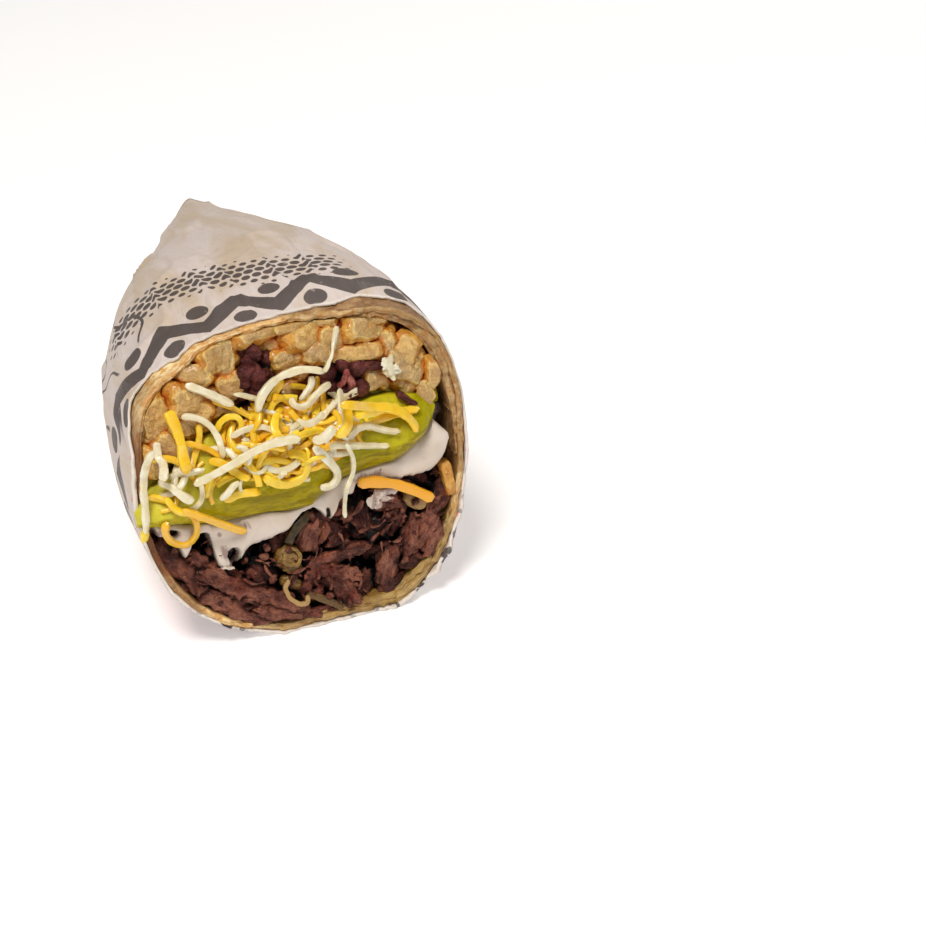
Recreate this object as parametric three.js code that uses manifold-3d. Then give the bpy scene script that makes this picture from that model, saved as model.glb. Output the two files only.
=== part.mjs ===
// Half of a large burrito in its paper wrap, cut across on a slant. It lies on its side on a table at z = 0,
// with the cut towards -Y and the closed, folded end along +Y. Millimetres, +Z up.
//
// Places on the cut are [across, up, out]: millimetres along +X, up the leaning cut, and out of it.

import * as THREE from 'three';
import { mergeVertices } from 'three/addons/utils/BufferGeometryUtils.js';
import Module from 'manifold-3d';

const wasm = await Module();
wasm.setup();

const rad = THREE.MathUtils.degToRad;

// ---- the body ----
const BODY_LENGTH = 112; // from the middle of the cut to the blunt end
const CUT_HEIGHT = 38; // the middle of the cut over the table
const CUT_LEAN = rad(16.5); // how far the cut leans back
const LEAN_FADE = 1.5; // how soon the rings behind the cut stand upright
const SECTION_RADIUS = 40.9; // mean radius of the tortilla at the cut
const SECTION_LOBES = [[2.5, -0.8], [1.0, 0.3], [-0.6, 1.1], [-1.4, 0.3]]; // its unevenness, as lobes 1 to 4
const SIDE_TAPER = { power: 2.3, sharpness: 1.3 }; // top and sides run to the end in a bullet shape
const BELLY_TAPER = { power: 5, sharpness: 1.2 }; // the underside stays down for longer
const BELLY_SAG = { depth: 1.5, within: 0.2 }; // flattens the underside on the table, behind the cut
const END = { across: 12, height: 37.5, halfWidth: 8.5, halfHeight: 15.5, dome: 2, shrink: 0.6 }; // folded

// ---- walls and gaps ----
const GAP = 0.3;
const PAPER = 0.6;
const TORTILLA = 1.8;
const LAPS = [{ angle: rad(30), half: rad(42), extra: 3.4 }, { angle: rad(-58), half: rad(42), extra: 1.4 }];
const LAP_SLITS = [1.7, 3.5]; // depth of the slits between the lapped layers, from the tortilla's outside
const SLIT = { width: 0.5, from: rad(2), to: rad(58), back: 0.09 };
const RIM = { angle: rad(62), half: rad(75), back: 3.6, ragged: 0.5 }; // where the paper is peeled back

// ---- level lines of the layers on the cut, [across, up] ----
const GUACAMOLE_TOP = [
  [-40, 9.5], [-30, 12.5], [-15, 13.5], [0, 14], [15, 13], [25, 12.8], [34, 11], [40, 10],
];
const GUACAMOLE_FOOT = [
  [-40, -4.5], [-26, -6.5], [-8, -8.2], [8, -4.6], [19, -2.6], [29, -0.2], [35, 5.5], [40, 6],
];
const CREAM_FOOT = [
  [-40, -7], [-32, -13.5], [-28, -12.6], [-22.5, -17.5], [-18, -21], [-13.5, -18], [-6, -16.8], [0, -11],
  [7, -13.8], [12, -10.8], [24, -8.4], [34, -8.2], [40, -6],
];
const POCKET = { from: -11, to: 24, half: 30, thick: 2.8 }; // meat between the fries and the guacamole
const POCKET_COLUMNS = [
  { across: -6, up: 21.5, halfWidth: 4.6, halfHeight: 8.0 },
  { across: 17.3, up: 18.6, halfWidth: 6.6, halfHeight: 5.2 },
];

// ---- how far each filling stands out of the cut ----
const GUACAMOLE_LIP = { reach: 5.0, crest: 0.7, root: 0.9, from: -37.5, to: 34, hang: 0.7 };
const LIP_EASE = { least: 0.45, over: 12 }; // the lip stands out less towards its two ends
const CREAM_HOLES = [
  { across: -25, up: -13.6, width: 4.6, height: 4.6 },
  { across: -15.4, up: -18.8, width: 3.6, height: 3.6 },
  { across: 38.6, up: 0.5, width: 3.6, height: 8 },
];
const CORE_OUT = { fries: -3, pocket: -3.5, guacamole: 1, cream: 0.8, meat: -5 };
const PIECES_OUT = { fries: [0, 0.9], meat: [-1.6, 0.9] };
const PIECES_ROOT = 9; // how deep the pieces reach into the core behind the cut
const CHUNK = { backSize: 0.8, frontSize: 0.72, shoulder: 0.25, corners: [0.45, 0.62] }; // a piece's form
const HOLE_FRONT = 4;
const CLEAR_OUT = 1.3; // everything but the guacamole stays behind this

// Potato fries that end at the cut: [across, up, width, height, turn in degrees].
const FRIES = [
  [-17.4, 29.4, 7.4, 6.6, 12], [-11.4, 28.2, 4.6, 7.2, -6], [-5.6, 33.2, 9.5, 3.6, 4],
  [4.2, 30.4, 10.5, 5.4, 2], [14.2, 29.2, 8.4, 5.6, -8], [23.2, 27.0, 8.6, 5.4, -22],
  [19.2, 23.6, 10.6, 3.2, -10], [30.2, 23.4, 5.6, 6.4, 35], [30.0, 17.0, 8.6, 6.6, -28],
  [24.6, 19.6, 3.4, 3.6, 15], [-24.6, 21.6, 9.4, 5.2, 14], [-31.2, 18.8, 5.6, 8.6, 20],
  [-13.8, 22.4, 6.2, 4.4, 8], [1.0, 24.4, 6.0, 5.6, 20], [8.0, 24.0, 5.2, 5.0, -12],
];

// Sliced and shredded beef at the cut: [across, up, length, width, turn in degrees].
const BEEF = [
  [0.7, -17.2, 6.1, 4.4, 72], [3.2, -13.4, 4.6, 2.4, -6], [8.5, -14.8, 4.5, 2.6, -2],
  [8.0, -18.5, 5.5, 4.4, 5], [8.6, -23.5, 10.3, 2.4, 5], [1.3, -25.3, 4.1, 4.9, 2],
  [7.7, -28.0, 6.2, 2.4, -32], [7.2, -32.2, 9.6, 4.2, -62], [12.5, -33.4, 7.1, 4.0, 56],
  [-11.6, -29.6, 9.2, 2.6, -27], [-8.6, -33.6, 9.6, 2.9, -20], [-11.4, -23.5, 6.4, 5.3, -25],
  [17.9, -19.7, 6.2, 5.3, 23], [14.0, -14.7, 7.4, 4.6, -76], [21.0, -13.6, 7.2, 5.1, -27],
  [26.3, -22.1, 6.6, 3.3, 74], [24.9, -26.0, 4.6, 2.8, 2], [30.0, -22.5, 6.4, 2.9, 50],
  [31.6, -25.6, 6.6, 3.1, 48], [32.6, -18.2, 5.8, 3.1, 44], [19.0, -29.1, 7.8, 4.6, 76],
  [26.2, -29.8, 6.0, 3.0, 3], [-33.4, -14.6, 5.4, 3.0, -65], [-30.4, -18.6, 9.6, 3.2, -52],
  [-25.6, -18.6, 7.2, 4.0, -56], [-21.2, -23.2, 8.2, 4.0, -34], [-15.9, -26.6, 8.6, 3.6, -30],
  [-23.9, -27.0, 7.6, 3.4, -40], [-17.9, -31.4, 7.6, 4.2, -28],
];

// Shreds of two cheeses on top: [across, up, heading, length, turn of the first half, of the second].
const SHREDS = [
  [8, 23, 150, 21, 45, 65], [-27, 20, 0, 17, -60, -35], [-26, 3, 15, 27, 5, -30],
  [-16, 12, 25, 13, -30, -65], [9, 20, -160, 13, 25, -135], [16, 17, -165, 12, 10, 25],
  [12, 5, 65, 14, -95, 15], [3, 6, -50, 15, -10, -160], [-33, 12, -130, 19, 40, -5],
  [-30, 22, -70, 16, -10, -5], [-20, 22, -25, 17, -15, 25], [-24, 17, -90, 13, -25, 20],
  [-20, 14, 80, 12, -90, -145], [-4, 16, -130, 12, 70, 130], [12, 15, -80, 10, -15, -90],
  [11, 14, -15, 21, 0, -60], [17, 8, 10, 13, -5, -5], [-29, -3, -30, 19, -135, -150],
  [-30, -2, -30, 16, -5, 5], [-10, 2, -55, 20, 75, 175], [12, 33, -110, 14, 5, -25],
  [-25, 27, -30, 13, -5, 0],
];
const SHRED = { width: 2.0, thick: 1.6, step: 3.6 };
const HEAP = { across: -4, up: 8, halfWidth: 33, halfHeight: 12, thick: 3.2, step: 5 };
const LONE_SHRED = { route: [[13.5, -6.2], [18, -6.8], [22.5, -8.4], [27, -11], [31.5, -14.2]], out: 2.6 };

// Pieces set in the beef.
const SIDE_FRY = { across: 37.2, up: -11, width: 2.7, height: 9, turn: 6, back: -6, front: 0.9 };
const ONION_ROUND = { across: -4.9, up: -21.4, radius: 3.6, half: 2.0, out: -0.6 };
const ONION_SLICE = { across: 28, up: -14.4, width: 5.9, height: 4.0, turn: -35, back: -2, front: 0.9 };
const ONION_BODY = { across: -4.7, up: -28.0, width: 5.4, height: 2.6, turn: -29, back: -4, front: 0.2 };
const ONION_LOOP = {
  route: [[-6.4, -27.2], [-7.8, -28.2], [-6.4, -30.8], [-3.7, -32.7], [-2.4, -31.4]],
  out: -0.3,
};
const ONION_STRIP = { route: [[-0.4, -32.0], [2, -33.4], [4.4, -34.8], [6.4, -35.4]], out: -0.8 };
const PEPPER_SKIN = { route: [[-4.4, -16.8], [-3.2, -14.8], [-1.2, -12.8], [1.0, -11.7]], out: -0.2 };
const LOOP_SECTION = [1.1, 1.2];
const STRIP_SECTION = [2.0, 1.8];
const SKIN_SECTION = [1.7, 1.6];

// ---- how finely the curves are drawn ----
const RINGS = 10;
const SEGMENTS = 36;
const LINE_STEP = 4;
const SPAN = 60; // half the width of the blocks that part the layers
const DEPTH = 150; // their length
const FRONT_RING = -0.1; // the blocks and the inside start this far in front of the cut
const WOBBLE = 0.08;
const FACET = 0.02; // facets flatter than this are merged
const RANDOM_SEED = 7;

const COLOURS = {
  paper: 0xdcd2c8, tortilla: 0xc79c5e, fries: 0xd9b06a, meat: 0x5a3732, guacamole: 0xa9aa28, cream: 0xe6dccd,
  cheese: 0xf6cf5a, onion: 0x82733c, pepper: 0x4a4128,
};

// ---- small helpers ----

function seededRandom(seed) {
  let state = seed;
  return () => {
    state = (state * 16807) % 2147483647;
    return state / 2147483647;
  };
}

const random = seededRandom(RANDOM_SEED);

// 1 at the middle, falling smoothly to 0 at half a width away.
function hump(distance, half) {
  return Math.abs(distance) >= half ? 0 : Math.cos((Math.PI / 2) * (distance / half)) ** 2;
}

function angleBetween(a, b) {
  return Math.atan2(Math.sin(a - b), Math.cos(a - b));
}

// A smooth height over `across` through the given points.
function levelLine(points) {
  const slope = points.map(([across, up], i) => {
    const [a, b] = [points[Math.max(i - 1, 0)], points[Math.min(i + 1, points.length - 1)]];
    return (b[1] - a[1]) / (b[0] - a[0]);
  });
  return (across) => {
    const last = points.length - 2;
    const i = Math.min(Math.max(points.findIndex(([x]) => x > across) - 1, 0), last);
    if (across <= points[0][0]) return points[0][1];
    if (across >= points[last + 1][0]) return points[last + 1][1];
    const width = points[i + 1][0] - points[i][0];
    const t = (across - points[i][0]) / width;
    const [t2, t3] = [t * t, t * t * t];
    return (2 * t3 - 3 * t2 + 1) * points[i][1] + (t3 - 2 * t2 + t) * width * slope[i]
      + (3 * t2 - 2 * t3) * points[i + 1][1] + (t3 - t2) * width * slope[i + 1];
  };
}

// ---- the body's shape ----

function sectionRadius(angle) {
  return SECTION_LOBES.reduce((radius, [cosine, sine], i) => {
    return radius + cosine * Math.cos((i + 1) * angle) + sine * Math.sin((i + 1) * angle);
  }, SECTION_RADIUS);
}

function taper(along, { power, sharpness }) {
  return (1 - Math.max(along, 0) ** power) ** sharpness;
}

// A point of the wrap, `inset` millimetres inside the paper's outside, at an angle round the section.
function bodyPoint(angle, along, inset) {
  const low = Math.max(0, -Math.sin(angle));
  const keep = taper(along, SIDE_TAPER);
  const keepUp = THREE.MathUtils.lerp(keep, taper(along, BELLY_TAPER), low);
  const reach = sectionRadius(angle) + PAPER + GAP - inset;
  const width = keep * reach + (1 - keep) * (END.halfWidth - inset);
  const height = keepUp * reach * Math.cos(CUT_LEAN) + (1 - keepUp) * (END.halfHeight - inset);
  const sag = BELLY_SAG.depth * low * THREE.MathUtils.smoothstep(along, 0, BELLY_SAG.within);
  const middle = CUT_HEIGHT + (1 - keep) * (END.height - CUT_HEIGHT) - sag;
  const x = (1 - keep) * END.across + width * Math.cos(angle);
  const z = Math.max(middle + height * Math.sin(angle), inset);
  const lean = Math.tan(CUT_LEAN) * (z - CUT_HEIGHT) * (1 - Math.max(along, 0)) ** LEAN_FADE;
  return new THREE.Vector3(x, along * (BODY_LENGTH - inset) + lean, z);
}

function bodyRing(along, inset, shift = () => 0) {
  return Array.from({ length: SEGMENTS }, (_, i) => {
    const angle = (i / SEGMENTS) * 2 * Math.PI;
    const point = bodyPoint(angle, along, inset(angle));
    point.y += shift(angle) * (1 - along) ** RINGS;
    return point;
  });
}

// The rings from the cut to the end, and one more that rounds the end off.
function bodyRings(inset, shift) {
  const rings = Array.from({ length: RINGS + 1 }, (_, i) => bodyRing(i / RINGS, inset, shift));
  const middle = new THREE.Vector3(END.across, BODY_LENGTH, END.height);
  const dome = rings[RINGS].map((point) => {
    return point.clone().lerp(middle, 1 - END.shrink).setY(point.y + END.dome);
  });
  return [...rings, dome];
}

function facePoint(across, up, out) {
  const y = up * Math.sin(CUT_LEAN) - out * Math.cos(CUT_LEAN);
  const z = CUT_HEIGHT + up * Math.cos(CUT_LEAN) + out * Math.sin(CUT_LEAN);
  return new THREE.Vector3(across, y, z);
}

// ---- solids ----

function solidOf(geometry) {
  geometry.deleteAttribute('normal');
  geometry.deleteAttribute('uv');
  const merged = mergeVertices(geometry);
  const vertProperties = new Float32Array(merged.attributes.position.array);
  const triVerts = new Uint32Array(merged.index.array);
  const solid = new wasm.Manifold(new wasm.Mesh({ numProp: 3, vertProperties, triVerts }));
  if (solid.volume() > 0) return solid;
  for (let i = 0; i < triVerts.length; i += 3) {
    [triVerts[i], triVerts[i + 1]] = [triVerts[i + 1], triVerts[i]];
  }
  return new wasm.Manifold(new wasm.Mesh({ numProp: 3, vertProperties, triVerts }));
}

// A closed solid through rings of equally many points, with a fan over the first and the last.
function loft(rings) {
  const count = rings[0].length;
  const points = rings.flat();
  const index = [];
  for (let ring = 0; ring < rings.length - 1; ring += 1) {
    for (let i = 0; i < count; i += 1) {
      const [a, b] = [ring * count + i, ring * count + ((i + 1) % count)];
      index.push(a, b, a + count, b, b + count, a + count);
    }
  }
  for (const [start, flip] of [[0, true], [(rings.length - 1) * count, false]]) {
    const centre = points.length;
    const ring = points.slice(start, start + count);
    points.push(ring.reduce((sum, p) => sum.add(p), new THREE.Vector3()).divideScalar(count));
    for (let i = 0; i < count; i += 1) {
      const [a, b] = [start + i, start + ((i + 1) % count)];
      index.push(...(flip ? [b, a, centre] : [a, b, centre]));
    }
  }
  const geometry = new THREE.BufferGeometry().setFromPoints(points);
  geometry.setIndex(index);
  return solidOf(geometry);
}

// A block that runs the length of the food behind an outline on the cut.
function runThrough(outline) {
  const shape = new THREE.Shape(outline.map(([across, up]) => {
    return new THREE.Vector2(across, CUT_HEIGHT + up * Math.cos(CUT_LEAN));
  }));
  const geometry = new THREE.ExtrudeGeometry(shape, { depth: DEPTH, bevelEnabled: false });
  geometry.rotateX(Math.PI / 2);
  geometry.translate(0, BODY_LENGTH + GAP, 0);
  return solidOf(geometry);
}

function between(foot, top, from = -SPAN, to = SPAN) {
  const steps = Math.ceil((to - from) / LINE_STEP);
  const across = Array.from({ length: steps + 1 }, (_, i) => from + ((to - from) * i) / steps);
  const low = across.map((x) => [x, foot(x) + GAP / 2]);
  const high = across.map((x) => [x, top(x) - GAP / 2]).reverse();
  return runThrough([...low, ...high]);
}

function column({ across, up, halfWidth, halfHeight }, grow) {
  const sides = 12;
  return runThrough(Array.from({ length: sides }, (_, i) => {
    const angle = (i / sides) * 2 * Math.PI;
    return [across + (halfWidth + grow) * Math.cos(angle), up + (halfHeight + grow) * Math.sin(angle)];
  }));
}

// What lies behind a plane parallel to the cut, or in front of it.
function behind(solid, out) {
  const inwards = facePoint(0, 0, -1).sub(facePoint(0, 0, 0));
  return solid.trimByPlane(inwards.toArray(), inwards.dot(facePoint(0, 0, out)));
}

function inFront(solid, out) {
  const outwards = facePoint(0, 0, 1).sub(facePoint(0, 0, 0));
  return solid.trimByPlane(outwards.toArray(), outwards.dot(facePoint(0, 0, out)));
}

// A chunk that ends at the cut: a rounded, slightly uneven block, from `back` to `front`.
function chunk({ across, up, width, height, turn, back, front }, grow = 0, wobble = () => 0.5) {
  const [side, top] = CHUNK.corners;
  const corners = [[1, side], [top, 1], [-top, 1], [-1, side], [-1, -side], [-top, -1], [top, -1], [1, -side]];
  const uneven = corners.map(() => 1 + WOBBLE * (2 * wobble() - 1));
  const shoulder = front - CHUNK.shoulder * height;
  const levels = [[back - grow, CHUNK.backSize], [shoulder, 1], [front + grow, CHUNK.frontSize]];
  return loft(levels.map(([out, size]) => corners.map(([x, y], i) => {
    const a = x * (width / 2 + grow) * size * uneven[i];
    const b = y * (height / 2 + grow) * size * uneven[i];
    const [cosine, sine] = [Math.cos(rad(turn)), Math.sin(rad(turn))];
    return facePoint(across + a * cosine - b * sine, up + a * sine + b * cosine, out);
  })));
}

// A strip of rectangular section along a route.
function strip(points, [width, thick], steps, grow = 0) {
  const path = new THREE.CatmullRomCurve3(points);
  const [a, b] = [thick / 2 + grow, width / 2 + grow];
  const corners = [[-a, -b], [a, -b], [a, b], [-a, b]];
  const section = new THREE.Shape(corners.map(([x, y]) => new THREE.Vector2(x, y)));
  return solidOf(new THREE.ExtrudeGeometry(section, { steps, extrudePath: path, bevelEnabled: false }));
}

function faceStrip({ route, out }, section, grow = 0) {
  return strip(route.map(([across, up]) => facePoint(across, up, out)), section, route.length * 2, grow);
}

function unionOf(solids) {
  return solids.reduce((all, solid) => all.add(solid));
}

function largestPiece(solid) {
  return solid.decompose().reduce((best, piece) => (piece.volume() > best.volume() ? piece : best));
}

// ---- paper and tortilla ----

function tortillaWall(angle) {
  return LAPS.reduce((wall, lap) => {
    return wall + lap.extra * hump(angleBetween(angle, lap.angle), lap.half);
  }, TORTILLA);
}

const tortillaInside = (angle) => PAPER + GAP + tortillaWall(angle);
const foodOutside = (angle) => tortillaInside(angle) + GAP;

function paperRim(angle) {
  const ragged = RIM.ragged * (Math.sin(7 * angle) + Math.sin(12 * angle + 1));
  return RIM.back * hump(angleBetween(angle, RIM.angle), RIM.half) + ragged;
}

// The space inside a wall, open a little past the cut.
function spaceInside(inset) {
  return loft([bodyRing(FRONT_RING, inset), ...bodyRings(inset)]);
}

function makePaper() {
  return loft(bodyRings(() => 0, paperRim)).subtract(spaceInside(() => PAPER));
}

function makeSlit(depth) {
  const steps = 8;
  const rings = Array.from({ length: steps + 1 }, (_, i) => {
    const angle = SLIT.from + ((SLIT.to - SLIT.from) * i) / steps;
    const [near, far] = [PAPER + GAP + depth, PAPER + GAP + depth + SLIT.width];
    return [[FRONT_RING, near], [SLIT.back, near], [SLIT.back, far], [FRONT_RING, far]]
      .map(([along, inset]) => bodyPoint(angle, along, inset));
  });
  return loft(rings);
}

function makeTortilla() {
  const wall = loft(bodyRings(() => PAPER + GAP)).subtract(spaceInside(tortillaInside));
  return LAP_SLITS.reduce((cut, depth) => cut.subtract(makeSlit(depth)), wall);
}

// ---- fillings ----

const inside = spaceInside(foodOutside);
const guacamoleTop = levelLine(GUACAMOLE_TOP);
const guacamoleFoot = levelLine(GUACAMOLE_FOOT);
const creamFoot = levelLine(CREAM_FOOT);
const pocketTop = (across) => {
  const middle = (POCKET.from + POCKET.to) / 2;
  return guacamoleTop(across) + POCKET.thick * hump(across - middle, POCKET.half);
};

// How far a lip stands out at a share of its height, from 0 at its top to 1 at its foot.
function lipOut(share, { reach, crest, root, hang }) {
  if (share < crest) return root + (reach - root) * Math.sin((Math.PI / 2) * (share / crest));
  return root + (reach - root) * Math.cos((Math.PI / 2) * ((share - crest) / (1 - crest))) ** hang;
}

function lipReach(across, lip) {
  const [toLeft, toRight] = [across - lip.from, lip.to - across];
  const ease = Math.min(1, LIP_EASE.least + Math.min(toLeft, toRight) / LIP_EASE.over);
  return { ...lip, reach: lip.root + (lip.reach - lip.root) * ease };
}

// The rounded front of a layer, spilling a little out of the cut.
function makeLip(foot, top, lip, grow = 0) {
  const shares = [0, 0.2, 0.45, 0.7, 0.88, 1];
  const stations = 16;
  return loft(Array.from({ length: stations + 1 }, (_, i) => {
    const across = lip.from - grow + ((lip.to - lip.from + 2 * grow) * i) / stations;
    const [low, high] = [foot(across) + GAP / 2 - grow, top(across) - GAP / 2 + grow];
    const here = lipReach(Math.min(Math.max(across, lip.from), lip.to), lip);
    const front = shares.map((share) => [high + (low - high) * share, lipOut(share, here) + grow]);
    const back = [[low, here.root / 2 - grow], [high, here.root / 2 - grow]];
    return [...front, ...back].map(([up, out]) => facePoint(across, up, out));
  }));
}

function makeFries() {
  const columns = POCKET_COLUMNS.map((place) => column(place, GAP));
  const space = inside.intersect(between(pocketTop, () => SPAN)).subtract(unionOf(columns));
  const ends = FRIES.map(([across, up, width, height, turn]) => {
    const front = THREE.MathUtils.lerp(...PIECES_OUT.fries, random());
    return chunk({ across, up, width, height, turn, back: -PIECES_ROOT, front }, 0, random);
  });
  return largestPiece(unionOf([behind(space, CORE_OUT.fries), unionOf(ends).intersect(space)]));
}

function makePocket() {
  const band = between(guacamoleTop, pocketTop, POCKET.from, POCKET.to);
  const columns = POCKET_COLUMNS.map((place) => column(place, 0));
  const above = between(guacamoleTop, () => SPAN);
  const pocket = inside.intersect(unionOf([band, ...columns])).intersect(above);
  return largestPiece(behind(pocket, CORE_OUT.pocket));
}

function makeGuacamole() {
  const layer = inside.intersect(between(guacamoleFoot, guacamoleTop));
  return behind(layer, CORE_OUT.guacamole).add(makeLip(guacamoleFoot, guacamoleTop, GUACAMOLE_LIP));
}

const setIn = {
  side_fry: (grow) => chunk(SIDE_FRY, grow),
  onion_round: (grow) => {
    const ball = new THREE.SphereGeometry(1, 10, 6);
    const size = [ONION_ROUND.radius + grow, ONION_ROUND.half + grow, ONION_ROUND.radius + grow];
    const place = facePoint(ONION_ROUND.across, ONION_ROUND.up, ONION_ROUND.out);
    ball.scale(...size).rotateX(-CUT_LEAN).translate(...place.toArray());
    return solidOf(ball);
  },
  onion_loop: (grow) => chunk(ONION_BODY, grow).add(faceStrip(ONION_LOOP, LOOP_SECTION, grow)),
  onion_strip: (grow) => faceStrip(ONION_STRIP, STRIP_SECTION, grow),
  onion_slice: (grow) => chunk(ONION_SLICE, grow),
  pepper_skin: (grow) => faceStrip(PEPPER_SKIN, SKIN_SECTION, grow),
};

function roomForSetIn(names) {
  return unionOf(names.map((name) => setIn[name](GAP)));
}

function makeCream() {
  const layer = behind(inside.intersect(between(creamFoot, guacamoleFoot)), CORE_OUT.cream);
  const holes = CREAM_HOLES.map((hole) => chunk({ ...hole, turn: 0, back: -PIECES_ROOT, front: HOLE_FRONT }));
  const room = roomForSetIn(['side_fry', 'pepper_skin']);
  return largestPiece(layer.subtract(unionOf(holes)).subtract(room));
}

function makeMeat() {
  const space = inside.intersect(between(() => -SPAN, creamFoot));
  const pieces = BEEF.map(([across, up, length, width, turn]) => {
    const front = THREE.MathUtils.lerp(...PIECES_OUT.meat, random());
    return chunk({ across, up, width: length, height: width, turn, back: -PIECES_ROOT, front }, 0, random);
  });
  const meat = behind(space, CORE_OUT.meat).add(unionOf(pieces).intersect(space));
  return largestPiece(meat.subtract(roomForSetIn(Object.keys(setIn))));
}

// ---- cheese ----

// How far the food under the cheese stands out at a place on the cut.
function surfaceOut(across, up) {
  const [low, high] = [guacamoleFoot(across), guacamoleTop(across)];
  const onLip = up > low && up < high && across > GUACAMOLE_LIP.from && across < GUACAMOLE_LIP.to;
  return onLip ? lipOut((high - up) / (high - low), lipReach(across, GUACAMOLE_LIP)) : CLEAR_OUT;
}

function heapThick(across, up) {
  const [x, y] = [(across - HEAP.across) / HEAP.halfWidth, (up - HEAP.up) / HEAP.halfHeight];
  return HEAP.thick * Math.max(0, 1 - x * x - y * y);
}

function makeHeap() {
  const half = HEAP.halfWidth - 1;
  const steps = Math.round((2 * half) / HEAP.step);
  return loft(Array.from({ length: steps + 1 }, (_, i) => {
    const across = HEAP.across - half + (2 * half * i) / steps;
    const reach = HEAP.halfHeight * Math.sqrt(1 - ((across - HEAP.across) / HEAP.halfWidth) ** 2);
    const levels = [-1, -0.6, -0.2, 0.2, 0.6, 1].map((share) => HEAP.up + share * reach);
    const front = levels.map((up) => [up, surfaceOut(across, up) + 2 * GAP + heapThick(across, up)]);
    const back = [[HEAP.up + reach, CLEAR_OUT], [HEAP.up - reach, CLEAR_OUT]];
    return [...front, ...back].map(([up, out]) => facePoint(across, up, out));
  }));
}

function shredRoute([across, up, heading, length, turnFirst, turnSecond]) {
  const places = [];
  const steps = Math.ceil(length / SHRED.step);
  const step = length / steps;
  let [x, y] = [across, up];
  for (let i = 0; i <= steps; i += 1) {
    const share = i / steps;
    places.push([x, y]);
    const turned = turnFirst * Math.min(1, 2 * share) + turnSecond * Math.max(0, 2 * share - 1);
    x += step * Math.cos(rad(heading + turned));
    y += step * Math.sin(rad(heading + turned));
  }
  const outs = places.map(([a, b]) => {
    return surfaceOut(a, b) + GAP + Math.max(SHRED.width / 2, heapThick(a, b) + SHRED.thick / 4);
  });
  return places.map(([a, b], i) => {
    const near = outs.slice(Math.max(i - 1, 0), i + 2);
    return facePoint(a, b, Math.max(...near));
  });
}

function makeCheese() {
  const shreds = SHREDS.map((row) => {
    const route = shredRoute(row);
    return strip(route, [SHRED.width, SHRED.thick], route.length);
  });
  const room = makeLip(guacamoleFoot, guacamoleTop, GUACAMOLE_LIP, GAP);
  const heap = unionOf([makeHeap(), ...shreds]).subtract(room);
  return largestPiece(inFront(heap, CLEAR_OUT + GAP));
}

// ---- the burrito ----

const burrito = new THREE.Group();

function addNode(name, solid, colour, roughness = 0.6) {
  const { vertProperties, triVerts } = solid.simplify(FACET).getMesh();
  const geometry = new THREE.BufferGeometry();
  geometry.setAttribute('position', new THREE.BufferAttribute(new Float32Array(vertProperties), 3));
  geometry.setIndex(new THREE.BufferAttribute(new Uint32Array(triVerts), 1));
  geometry.computeVertexNormals();
  const material = new THREE.MeshStandardMaterial({ color: colour, roughness, metalness: 0 });
  const mesh = new THREE.Mesh(geometry, material);
  mesh.name = name;
  burrito.add(mesh);
}

addNode('paper_wrap', makePaper(), COLOURS.paper, 0.75);
addNode('tortilla', makeTortilla(), COLOURS.tortilla, 0.7);
addNode('fries', makeFries(), COLOURS.fries, 0.55);
addNode('meat_pocket', makePocket(), COLOURS.meat, 0.5);
addNode('guacamole', makeGuacamole(), COLOURS.guacamole, 0.35);
addNode('sour_cream', makeCream(), COLOURS.cream, 0.3);
addNode('meat', makeMeat(), COLOURS.meat, 0.5);
addNode('shredded_cheese', makeCheese(), COLOURS.cheese, 0.45);
addNode('lone_cheddar_shred', faceStrip(LONE_SHRED, [SHRED.width, SHRED.thick]), COLOURS.cheese, 0.45);
for (const [name, make] of Object.entries(setIn)) {
  addNode(name, make(0).intersect(inside), name === 'pepper_skin' ? COLOURS.pepper : COLOURS.onion, 0.4);
}

// The origin is under the middle of the whole thing.
const box = new THREE.Box3().setFromObject(burrito);
burrito.position.set(-(box.min.x + box.max.x) / 2, -(box.min.y + box.max.y) / 2, -box.min.z);

export default burrito;
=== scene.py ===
import math

import bmesh
import bpy
import numpy as np
from mathutils import Matrix, Vector


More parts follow.
